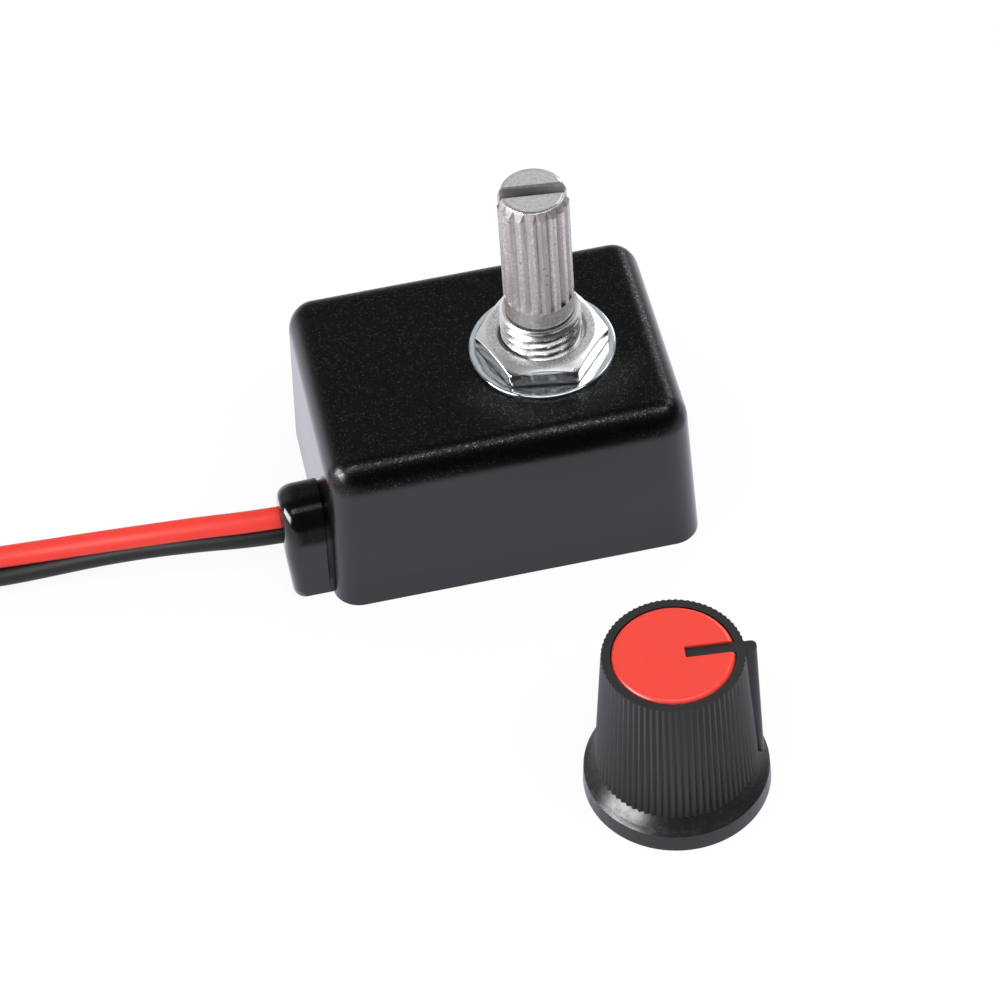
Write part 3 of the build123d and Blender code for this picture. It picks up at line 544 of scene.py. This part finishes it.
def plain_stock(name, colour, size, contrast, rough, metal):
    """Inner parts' stock: a base colour broken by noise of a size, with matching roughness."""

    def build(start):
        place = start.place()
        cloud = place.noise(size, detail=4.0, roughness=0.6)
        return {
            "Base Color": cloud.mix(colour, shade(colour, contrast)),
            "Roughness": rough + cloud * 0.15,
            "Normal": place.noise(size * 0.2).bump(mm(0.01), 0.3),
        }

    return finish(name, build, Metallic=metal)


class DIMMER_OT_stage(bpy.types.Operator):
    """Pale floor, soft studio light, white surroundings and the camera"""

    bl_idname = "dimmer.stage"
    bl_label = "Stage"

    CAMERA_PLACE = (-0.0330048, -0.2253642, 0.2530648)
    CAMERA_TURN = (2.39975, -0.27453, 0.03039)
    LIT_POINT = (0, 0, mm(10))
    # Each softbox: place, size, the setting that holds its power, and whether it only makes glints
    SOFTBOXES = {
        "top_softbox": ((0.03, -0.26, 0.54), (0.7, 0.17), "top_power", False),
        "left_softbox": ((-0.44, -0.15, 0.19), (0.36, 0.2), "left_power", True),
        "right_softbox": ((0.4, 0.12, 0.44), (0.25, 0.25), "right_power", True),
        "back_softbox": ((0.36, 0.41, 0.22), (0.2, 0.2), "back_power", True),
    }

    def floor(self, settings):
        """A wide flat sheet. Most of what the camera sees is its own white, the rest takes the shadow."""
        side = np.linspace(-1.5, 1.5, 3)
        x, y = np.meshgrid(side, side, indexing="ij")
        material = bpy.data.materials.new("floor_white")
        material.use_nodes = True
        material.node_tree.nodes.clear()
        start = Socket(material.node_tree)
        matt = start.node("BsdfDiffuse", sockets={"Color": (0.86, 0.86, 0.86, 1)})
        glow = start.node("Emission", sockets={"Color": (1, 1, 1, 1), "Strength": 1.03})
        camera = start.node("LightPath", out="Is Camera Ray")
        x_place, y_place = start.place().parts()[:2]
        left = start.math("MINIMUM", x_place, 0.0)
        reach = (y_place - left * 0.8).ramp(settings.floor_edge, settings.floor_full)
        dark, pale = (0.04, 0.04, 0.04), (0.97, 0.94, 1.06)
        tinted = start.node("Emission", sockets={"Color": reach.mix(dark, pale)})
        shown = start.node("MixShader", sockets={0: camera, 1: tinted, 2: glow})
        white = self.seen(start) * settings.floor_white
        both = start.node("MixShader", sockets={0: white, 1: matt, 2: shown})
        start.node("OutputMaterial", sockets={"Surface": both})
        made = surface("floor", np.stack([x, y, 0 * x - mm(0.05)], axis=-1), material, wrap_columns=False)

    def seen(self, start):
        """1 for rays that show the surroundings: camera, glossy and transmission rays."""
        camera, glossy, through = (
            start.node("LightPath", out=f"Is {kind} Ray") for kind in ("Camera", "Glossy", "Transmission")
        )
        return start.math("MINIMUM", camera + glossy + through, 1.0)

    def world(self, settings):
        """White for the camera, a dark room with a white horizon in reflections, even light on the rest."""
        world = bpy.data.worlds.new("studio")
        bpy.context.scene.world = world
        world.use_nodes = True
        world.node_tree.nodes.clear()
        start = Socket(world.node_tree)
        back, up = start.node("TexCoord", out="Generated").parts()[1:]
        room = settings.ceiling + back.ramp(0.1, 0.7) * settings.back_wall
        white = (1.0 - up.ramp(0.0, settings.horizon)) * back.ramp(-0.7, -0.2)
        mirrored = room + white * (1.0 - room)
        seen, camera = self.seen(start), start.node("LightPath", out="Is Camera Ray")
        level = seen * mirrored + (1.0 - seen) * settings.ambient
        level = camera + (1.0 - camera) * level
        light = start.node("Background", sockets={"Color": (1, 1, 1, 1), "Strength": level})
        start.node("OutputWorld", sockets={"Surface": light})

    def lamp(self, name, place, size, power, glints_only):
        """A softbox at a place, turned to the object. One for glints lights no matt surface."""
        light = bpy.data.lights.new(name, "AREA")
        light.shape = "RECTANGLE"
        light.size, light.size_y = size
        light.energy = power
        made = bpy.data.objects.new(name, light)
        made.location = place
        made.rotation_euler = (Vector(self.LIT_POINT) - Vector(place)).to_track_quat("-Z", "Y").to_euler()
        made.visible_diffuse = not glints_only
        bpy.context.scene.collection.objects.link(made)

    def camera(self, settings):
        """The photograph's viewpoint: a place, and a turn vector from the scene's axes to the picture's."""
        turn = Vector(self.CAMERA_TURN)
        to_view = Matrix.Rotation(turn.length, 3, turn.normalized())
        flip = Matrix.Diagonal((1, -1, -1))
        lens = bpy.data.cameras.new("camera")
        lens.sensor_width = 36.0
        lens.lens = settings.lens
        lens.clip_start = 0.01
        made = bpy.data.objects.new("camera", lens)
        made.matrix_world = Matrix.Translation(self.CAMERA_PLACE) @ (flip @ to_view).transposed().to_4x4()
        bpy.context.scene.collection.objects.link(made)
        bpy.context.scene.camera = made

    def execute(self, context):
        settings = context.scene.dimmer_stage
        context.scene.view_settings.view_transform = "Standard"
        self.floor(settings)
        self.world(settings)
        for name, (place, size, power, glints_only) in self.SOFTBOXES.items():
            self.lamp(name, place, size, getattr(settings, power), glints_only)
        self.camera(settings)
        return {"FINISHED"}


class DIMMER_OT_leads(bpy.types.Operator):
    """Red and black leads from the gland to their tied coil"""

    bl_idname = "dimmer.leads"
    bl_label = "Leads"

    RED_ROUTE = (
        (-22.4, -6.83, 7.78),
        (-26.7, -5.95, 7.3),
        (-31.2, -4.85, 6.4),
        (-35.7, -3.62, 5.35),
        (-40.2, -2.5, 4.35),
        (-44.7, -1.57, 3.6),
        (-48.2, -1.08, 3.35),
        (-51.0, -0.82, 3.25),
    )
    BLACK_ROUTE = (
        (-22.4, -6.82, 5.83),
        (-26.7, -5.75, 5.33),
        (-31.2, -4.51, 4.45),
        (-35.7, -3.42, 3.4),
        (-40.2, -2.6, 2.33),
        (-44.7, -1.93, 1.53),
        (-48.2, -1.3, 1.35),
        (-51.0, -0.88, 1.3),
    )
    RED_EXIT = (-19.78, -6.95, 7.8)
    BLACK_EXIT = (-19.78, -6.95, 5.85)
    TURN_POINTS = 24
    TAIL_RADIUS = mm(6.0)
    TAIL_TURN = math.radians(90)

    def coil(self, settings, height):
        """Flat spiral from the lead-in, radius falling by a pitch a turn, then a tighter inward tail."""
        count = round(settings.coil_turns * self.TURN_POINTS)
        run = np.arange(count + 1) / count * settings.coil_turns
        angle = -math.pi / 2 - 2 * math.pi * run
        radius = settings.coil_radius - settings.coil_pitch * run
        spiral = np.stack([radius * np.cos(angle), radius * np.sin(angle)], axis=-1)
        outward = np.array([math.cos(angle[-1]), math.sin(angle[-1])])
        middle = outward * (radius[-1] - self.TAIL_RADIUS)
        bend = angle[-1] - np.linspace(0, self.TAIL_TURN, 7)[1:]
        tail = middle + self.TAIL_RADIUS * np.stack([np.cos(bend), np.sin(bend)], axis=-1)
        flat = np.concatenate([spiral, tail]) + np.array([COIL_X, COIL_Y])
        return np.column_stack([flat, np.full(len(flat), height)])

    def lead(self, name, colour_name, exit_point, route, settings, material):
        """A NURBS lead through its route's points and its coil, with round section and flat ends."""
        height = node_middle(f"{colour_name}_coil")[2]
        lead_in = np.array([[COIL_X + mm(3.2), COIL_Y - settings.coil_radius - mm(0.05), height]])
        free = np.array([exit_point, *route]) * MM
        points = np.concatenate([free, lead_in, self.coil(settings, height)])
        curve = bpy.data.curves.new(name, "CURVE")
        curve.dimensions = "3D"
        spline = curve.splines.new("NURBS")
        spline.points.add(len(points) - 1)
        spline.points.foreach_set("co", np.column_stack([points, np.ones(len(points))]).ravel())
        spline.order_u = 3
        spline.use_endpoint_u = True
        spline.resolution_u = 8
        curve.bevel_depth = settings.diameter / 2
        curve.bevel_resolution = 6
        curve.use_fill_caps = True
        curve.materials.append(material)
        made = bpy.data.objects.new(name, curve)
        bpy.context.scene.collection.objects.link(made)
        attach(made, "case")
        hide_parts(f"{colour_name}_wire", f"{colour_name}_coil")

    def execute(self, context):
        settings = context.scene.dimmer_leads
        red = insulation("red_insulation", settings.red)
        black = insulation("black_insulation", settings.black)
        self.lead("red_lead", "red", self.RED_EXIT, self.RED_ROUTE, settings, red)
        self.lead("black_lead", "black", self.BLACK_EXIT, self.BLACK_ROUTE, settings, black)
        dress(red, "red_inner_lead")
        dress(black, "black_inner_lead")
        strands = plain_stock("tinned_strands", (0.72, 0.71, 0.69), mm(0.3), 0.8, 0.3, 1.0)
        band = plain_stock("tie_band", (0.02, 0.02, 0.022), mm(0.8), 0.7, 0.4, 0.0)
        dress(strands, "red_tip", "black_tip")
        dress(band, "coil_tie")
        return {"FINISHED"}


class DIMMER_OT_case(bpy.types.Operator):
    """Moulded case and wire gland in place of the CAD ones, and the cover's finish"""

    bl_idname = "dimmer.case"
    bl_label = "Case"

    ARC_POINTS = 14
    RUN_POINTS = 14
    EDGE_ROWS = 14
    SUPPORT = 0.004
    # Wall left outside the cover's seat
    LEDGE = mm(0.7)
    # How far the gland's skin stands over and past its solid, and how its top falls per length
    GLAND_OVER, GLAND_PAST, GLAND_FALL = mm(0.1), mm(0.14), 0.04
    # How far the gland's end tucks in at its foot, and the heights where tuck and flush foot end
    GLAND_TUCK, TUCK_TOP, FLUSH_TOP = mm(0.5), mm(5.0), mm(1.5)

    def outline(self, half_x, half_y, corner):
        """Rounded rectangle: a quarter arc round each corner's centre, then a straight run to the next one."""
        arc = np.linspace(0, math.pi / 2, self.ARC_POINTS)[None, :] + np.arange(4)[:, None] * math.pi / 2
        signs = np.array([[1, 1], [-1, 1], [-1, -1], [1, -1]])[:, None, :]
        middle = signs * (half_x - corner, half_y - corner)
        arcs = middle + corner * np.stack([np.cos(arc), np.sin(arc)], axis=-1)
        steps = np.concatenate([[self.SUPPORT], np.linspace(0.05, 0.95, self.RUN_POINTS), [1 - self.SUPPORT]])
        start, end = arcs[:, -1:], np.roll(arcs, -1, axis=0)[:, :1]
        runs = start + (end - start) * steps[None, :, None]
        return np.concatenate([arcs, runs], axis=1).reshape(-1, 2)

    def shell(self, settings):
        """Rows of outlines: up the leaning wall, over an elliptical edge, to the bush's hole and back in."""
        low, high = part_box("housing")
        half_x, half_y, top = (high[0] - low[0]) / 2, (high[1] - low[1]) / 2, high[2]
        lean = math.tan(settings.draft)
        shoulder, roof = top - settings.edge_down, top - settings.wall
        ledge, ledge_z = settings.wall - self.LEDGE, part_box("base_cover")[1][2]
        inner = settings.corner - settings.wall

        def ring(inset, corner, z):
            """Outline at a height, set in from the foot's."""
            flat = self.outline(half_x - inset, half_y - inset, corner)
            return np.column_stack([flat, np.full(len(flat), z)])

        def round_hole(outer, z, part):
            """Outline drawn part of the way to the hole's circle, along rays from the shaft's axis."""
            away = outer[:, :2] - (SHAFT_X, SHAFT_Y)
            circle = away / np.linalg.norm(away, axis=1, keepdims=True) * BUSH_HOLE
            flat = away + (circle - away) * part + (SHAFT_X, SHAFT_Y)
            return np.column_stack([flat, np.full(len(flat), z)])

        walls = [ring(z * lean, settings.corner, z) for z in (0, shoulder * 0.5, shoulder - mm(0.05))]
        turn = np.linspace(0, math.pi / 2, self.EDGE_ROWS)
        edge = [
            ring(
                shoulder * lean + settings.edge_in * (1 - math.cos(t)),
                settings.corner - settings.edge_in * (1 - math.cos(t)),
                shoulder + settings.edge_down * math.sin(t),
            )
            for t in turn
        ]
        lid = [round_hole(edge[-1], top, part) for part in (0.02, 0.5, 1)]
        under = ring(settings.wall + roof * lean, inner, roof)
        inside = [
            round_hole(under, roof, 1),
            under,
            ring(settings.wall + ledge_z * lean, inner, ledge_z),
            ring(ledge, inner + self.LEDGE, ledge_z),
            ring(ledge, inner + self.LEDGE, 0),
        ]
        return np.stack([*walls, *edge, *lid, *inside])

    def gland(self, settings):
        """Arched outlines carried out from the leaning wall: a set-back band, then an elliptical nose.

        An outline runs along the foot, up a side, over a quarter ellipse, across, and down the other side.
        The top falls a little outwards, the band is flush at the foot, and the nose's foot is tucked in.
        """
        low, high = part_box("wire_gland")
        half, middle = (high[1] - low[1]) / 2, (high[1] + low[1]) / 2
        foot, top = low[2], high[2] + self.GLAND_OVER
        wall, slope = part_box("housing")[0][0], math.tan(settings.draft)
        reach, nose = wall - low[0] + self.GLAND_PAST, settings.gland_nose
        step, sunk = settings.gland_step, settings.gland_sunk
        band = [(mm(-0.3), sunk), (step - mm(0.04), sunk), (step, sunk - mm(0.03)), (step, mm(0.06))]
        band += [(step + mm(0.05), 0), (mm(0.8), 0), (mm(1.5), 0)]
        band_out, set_back = np.array(band).T
        turn = np.linspace(0, math.pi / 2, self.EDGE_ROWS)
        out = np.concatenate([band_out, reach - nose + nose * np.sin(turn)])[:, None]
        inset_y = np.concatenate([set_back, settings.nose_side * (1 - np.cos(turn))])[:, None]
        inset_z = np.concatenate([set_back, settings.nose_top * (1 - np.cos(turn))])[:, None]
        arc = np.linspace(0, math.pi / 2, self.ARC_POINTS)[None, :]
        run = np.concatenate([[self.SUPPORT], np.linspace(0.1, 0.9, 6), [1 - self.SUPPORT]])[None, :]
        side, crown = half - inset_y, top - inset_z
        across, down = settings.gland_in - inset_y, settings.gland_down - inset_z
        arch_y, arch_z = side - across * (1 - np.cos(arc)), crown - down * (1 - np.sin(arc))
        foot_y, foot_z = side * (2 * run - 1), foot + 0 * side * run
        side_y, side_z = side + 0 * run, foot + (crown - down - foot) * run
        flat_y, flat_z = (side - across) * (1 - 2 * run), crown + 0 * run
        y = np.concatenate([foot_y, side_y, arch_y, flat_y, -arch_y[:, ::-1], -side_y], axis=1)
        z = np.concatenate([foot_z, side_z, arch_z, flat_z, arch_z[:, ::-1], side_z[:, ::-1]], axis=1)
        z = z - out * (z / top) * self.GLAND_FALL
        set_back = np.concatenate([set_back, 0 * turn])[:, None]
        y = y * (1 + set_back / (half - set_back) * np.clip(1 - (z - foot) / self.FLUSH_TOP, 0, 1))
        tuck = self.GLAND_TUCK * np.clip(1 - z / self.TUCK_TOP, 0, 1) * np.clip(out / reach, 0, 1)
        points = np.stack([wall + z * slope - out + tuck, middle + y, z], axis=-1)
        inner, outer = points[:1], points[-1:]
        parts = np.array([0.5, 1.0])[:, None, None]
        closing = outer + (outer.mean(axis=1, keepdims=True) - outer) * parts
        opening = inner + (inner.mean(axis=1, keepdims=True) - inner) * parts[::-1]
        return np.concatenate([opening, points, closing])

    def execute(self, context):
        settings = context.scene.dimmer_case
        plastic = moulded_case(settings)
        made = surface("case_shell", self.shell(settings), plastic, wrap_rows=True, crease=30)
        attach(made, "case")
        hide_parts("housing")
        dress(plastic, "base_cover")
        made = surface("gland_shell", self.gland(settings), moulded_gland(settings), crease=40)
        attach(made, "case")
        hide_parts("wire_gland")
        return {"FINISHED"}


class DIMMER_OT_bush(bpy.types.Operator):
    """Threaded bush in place of the CAD bush"""

    bl_idname = "dimmer.bush"
    bl_label = "Bush"

    COLUMNS = 144
    ROWS_PER_TURN = 14
    # Steepness of the thread's flanks, and the flat left at its root
    FLANK, ROOT_FLAT = 1.15, 0.08
    BORE_CHAMFER = mm(0.15)

    def execute(self, context):
        """Closed turned section.

        The thread's radius is its crest less its depth times one less a saw in z/pitch - turn.
        """
        settings = context.scene.dimmer_metal
        low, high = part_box("pot_bush")
        bottom, top, flange_r = low[2], high[2], (high[0] - low[0]) / 2
        washer_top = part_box("bush_washer")[1][2]
        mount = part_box("housing")[1][2] - context.scene.dimmer_case.wall
        crest, bore, hub = mm(3.5), mm(2.45), mm(3.8)
        claw_seat, claw_step, flange, chamfer = mm(5.9), mm(0.5), mm(1.2), mm(0.28)
        turns = around(self.COLUMNS)
        count = int((top - chamfer - washer_top) / settings.thread_pitch * self.ROWS_PER_TURN)
        thread_z = np.linspace(washer_top, top - chamfer, count)
        before = [
            (bore, bottom),
            (hub, bottom),
            (hub, mount - flange),
            (flange_r, mount - flange),
            (flange_r, mount - claw_step),
            (claw_seat, mount - claw_step),
            (claw_seat, mount),
            (crest, mount),
            (crest, washer_top - mm(0.1)),
        ]
        after = [
            (crest - chamfer * 0.8, top - chamfer * 0.25),
            (crest - chamfer, top),
            (bore + self.BORE_CHAMFER, top),
            (bore, top - self.BORE_CHAMFER),
        ]
        phase = (thread_z[:, None] / settings.thread_pitch - turns / (2 * math.pi)) % 1.0
        saw = np.clip(self.FLANK * np.abs(2 * phase - 1) - self.ROOT_FLAT, 0, 1)
        fade = np.clip((top - chamfer * 0.6 - thread_z) / settings.thread_pitch, 0, 1)[:, None]
        thread_r = crest - settings.thread_depth * (1 - saw) * (0.6 + 0.4 * fade)
        below, above = (np.array(rows)[..., None].repeat(self.COLUMNS, axis=2) for rows in (before, after))
        thread_z = np.repeat(thread_z[:, None], self.COLUMNS, axis=1)
        radius = np.concatenate([below[:, 0], thread_r, above[:, 0]])
        height = np.concatenate([below[:, 1], thread_z, above[:, 1]])
        # The thread's root gets painted shade up to the chamfer.
        root, root_shade_top = crest - mm(0.18), top - chamfer
        material = plated("bush_metal", settings.bush_colour, 0.22, mm(1.0), root=root, mark=0.8, root_shade_top=root_shade_top)
        points = turned(radius, height, SHAFT_X, SHAFT_Y, turns)
        made = surface("threaded_bush", points, material, wrap_rows=True, crease=40)
        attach(made, "case")
        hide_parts("pot_bush")
        return {"FINISHED"}


class DIMMER_OT_nut(bpy.types.Operator):
    """Crowned nut and rolled washer in place of the CAD ones"""

    bl_idname = "dimmer.nut"
    bl_label = "Nut and washer"

    COLUMNS = 360
    TURN = math.radians(-10)
    ROUNDING = 70

    def washer(self, settings):
        """Closed turned ring. Its outer rim rolls over: radius falls by the roll times one less cosine."""
        low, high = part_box("bush_washer")
        outer, bottom, top = (high[0] - low[0]) / 2, low[2], high[2]
        roll = mm(0.2)
        flat = outer - roll
        turn = np.linspace(math.pi / 2, 0, 7)
        radius = np.concatenate([[BUSH_HOLE, BUSH_HOLE, flat - mm(0.02)], flat + roll * np.cos(turn), [outer]])
        height = np.concatenate([[bottom, top, top], top - roll + roll * np.sin(turn), [bottom]])
        points = turned(radius[:, None], height[:, None], SHAFT_X, SHAFT_Y, around(self.COLUMNS // 2))
        material = plated("washer_metal", settings.washer_colour, 0.07, mm(3.0), mark=0.25, rings=0.95)
        made = surface("rolled_washer", points, material, wrap_rows=True)
        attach(made, "case")
        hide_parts("bush_washer")

    def execute(self, context):
        """Closed section round the bore.

        The side's radius is half the flats over a soft maximum of three cosines.
        """
        settings = context.scene.dimmer_metal
        low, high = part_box("bush_nut")
        bottom, top = low[2], high[2]
        turns = around(self.COLUMNS)
        faces = [np.abs(np.cos(turns - self.TURN - math.pi / 6 - k * math.pi / 3)) for k in range(3)]
        spread = sum(face**self.ROUNDING for face in faces) ** (1 / self.ROUNDING)
        side = settings.nut_flats / 2 / spread
        crown = settings.nut_crown / 2
        bore, sink, edge, slope = mm(3.52), mm(0.4), mm(0.06), 0.5
        shoulder = top - np.maximum(side - crown, 0) * slope
        rows = [
            (bore, bottom),
            (bore, top - sink),
            (bore + sink * 0.9, top - mm(0.02)),
            (bore + sink, top),
            (crown - edge, top),
            (crown + edge, top - edge * slope),
            (side - edge, shoulder + edge * slope * 0.6),
            (side, shoulder - edge),
            (side, bottom + edge),
            (side - edge, bottom),
        ]
        radius = np.concatenate([np.broadcast_to(r, turns.shape) for r, z in rows])
        height = np.concatenate([np.broadcast_to(z, turns.shape) for r, z in rows])
        # The nut gets painted shade below its foot height, where it sits on the washer.
        foot, dull = bottom + mm(0.24), top - mm(0.28)
        material = plated("nut_metal", settings.plate_colour, 0.085, mm(1.2), mark=0.9, foot=foot, dull=dull)
        points = turned(radius, height, SHAFT_X, SHAFT_Y, turns)
        made = surface("crowned_nut", points, material, wrap_rows=True, crease=22)
        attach(made, "case")
        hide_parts("bush_nut")
        self.washer(settings)
        return {"FINISHED"}


class DIMMER_OT_shaft(bpy.types.Operator):
    """Finish of the knurled shaft"""

    bl_idname = "dimmer.shaft"
    bl_label = "Shaft"

    def execute(self, context):
        dress(turned_aluminium(context.scene.dimmer_metal), "shaft")
        return {"FINISHED"}


class DIMMER_OT_knob(bpy.types.Operator):
    """Finishes of the knob and its cap"""

    bl_idname = "dimmer.knob"
    bl_label = "Knob"

    def execute(self, context):
        settings = context.scene.dimmer_knob
        dress(knob_plastic(settings), "knob_body")
        dress(cap_plastic(settings), "knob_cap")
        return {"FINISHED"}


class DIMMER_OT_workings(bpy.types.Operator):
    """Finishes of the potentiometer's inner pieces"""

    bl_idname = "dimmer.workings"
    bl_label = "Inner pieces"

    # Each finish: nodes, colour, noise size in mm, contrast, roughness and share of metal
    TERMINALS = ("terminal_low", "terminal_wiper", "terminal_high")
    STOCK = {
        "phenolic_board": (("track_wafer",), (0.3, 0.16, 0.08), 0.6, 0.7, 0.5, 0.0),
        "printed_carbon": (("carbon_track",), (0.03, 0.03, 0.03), 0.3, 0.6, 0.6, 0.0),
        "silvered_brass": (TERMINALS, (0.74, 0.71, 0.64), 0.8, 0.8, 0.25, 1.0),
        "rolled_brass": (("terminal_eyelets",), (0.75, 0.66, 0.45), 0.5, 0.8, 0.25, 1.0),
        "tinned_can": (("pot_can",), (0.66, 0.66, 0.64), 1.5, 0.85, 0.3, 1.0),
        "spring_steel": (("retaining_clip",), (0.4, 0.4, 0.41), 0.6, 0.75, 0.35, 1.0),
        "nylon": (("rotor",), (0.8, 0.78, 0.72), 1.2, 0.93, 0.45, 0.0),
        "spring_bronze": (("wiper",), (0.7, 0.5, 0.24), 0.5, 0.85, 0.28, 1.0),
        "flowed_solder": (("solder_joints",), (0.7, 0.7, 0.71), 0.3, 0.85, 0.22, 1.0),
    }

    def execute(self, context):
        for name, (nodes, colour, size, contrast, rough, metal) in self.STOCK.items():
            dress(plain_stock(name, colour, mm(size), contrast, rough, metal), *nodes)
        return {"FINISHED"}


class DIMMER_PT_panel(bpy.types.Panel):
    """Sidebar list of the dimmer's operators"""

    bl_label = "Rotary Dimmer"
    bl_idname = "DIMMER_PT_panel"
    bl_space_type = "VIEW_3D"
    bl_region_type = "UI"
    bl_category = "Dimmer"

    def draw(self, context):
        for operator in OPERATORS:
            self.layout.operator(operator.bl_idname)
        for group in SETTINGS:
            box = self.layout.box()
            owner = getattr(context.scene, group)
            for key in owner.__annotations__:
                box.prop(owner, key)


SETTINGS = {
    "dimmer_case": CaseSettings,
    "dimmer_metal": MetalSettings,
    "dimmer_leads": LeadSettings,
    "dimmer_knob": KnobSettings,
    "dimmer_stage": StageSettings,
}
OPERATORS = (
    DIMMER_OT_stage,
    DIMMER_OT_leads,
    DIMMER_OT_case,
    DIMMER_OT_bush,
    DIMMER_OT_nut,
    DIMMER_OT_shaft,
    DIMMER_OT_knob,
    DIMMER_OT_workings,
)


def register():
    """Adds the classes, and the settings to the scene."""
    for group in (*SETTINGS.values(), *OPERATORS, DIMMER_PT_panel):
        bpy.utils.register_class(group)
    for name, group in SETTINGS.items():
        setattr(bpy.types.Scene, name, bpy.props.PointerProperty(type=group))


def unregister():
    """Takes away what register added."""
    for name in SETTINGS:
        delattr(bpy.types.Scene, name)
    for group in reversed((*SETTINGS.values(), *OPERATORS, DIMMER_PT_panel)):
        bpy.utils.unregister_class(group)


def main():
    """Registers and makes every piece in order."""
    register()
    for operator in OPERATORS:
        getattr(bpy.ops.dimmer, operator.bl_idname.split(".")[1])()


if __name__ == "__main__":
    main()
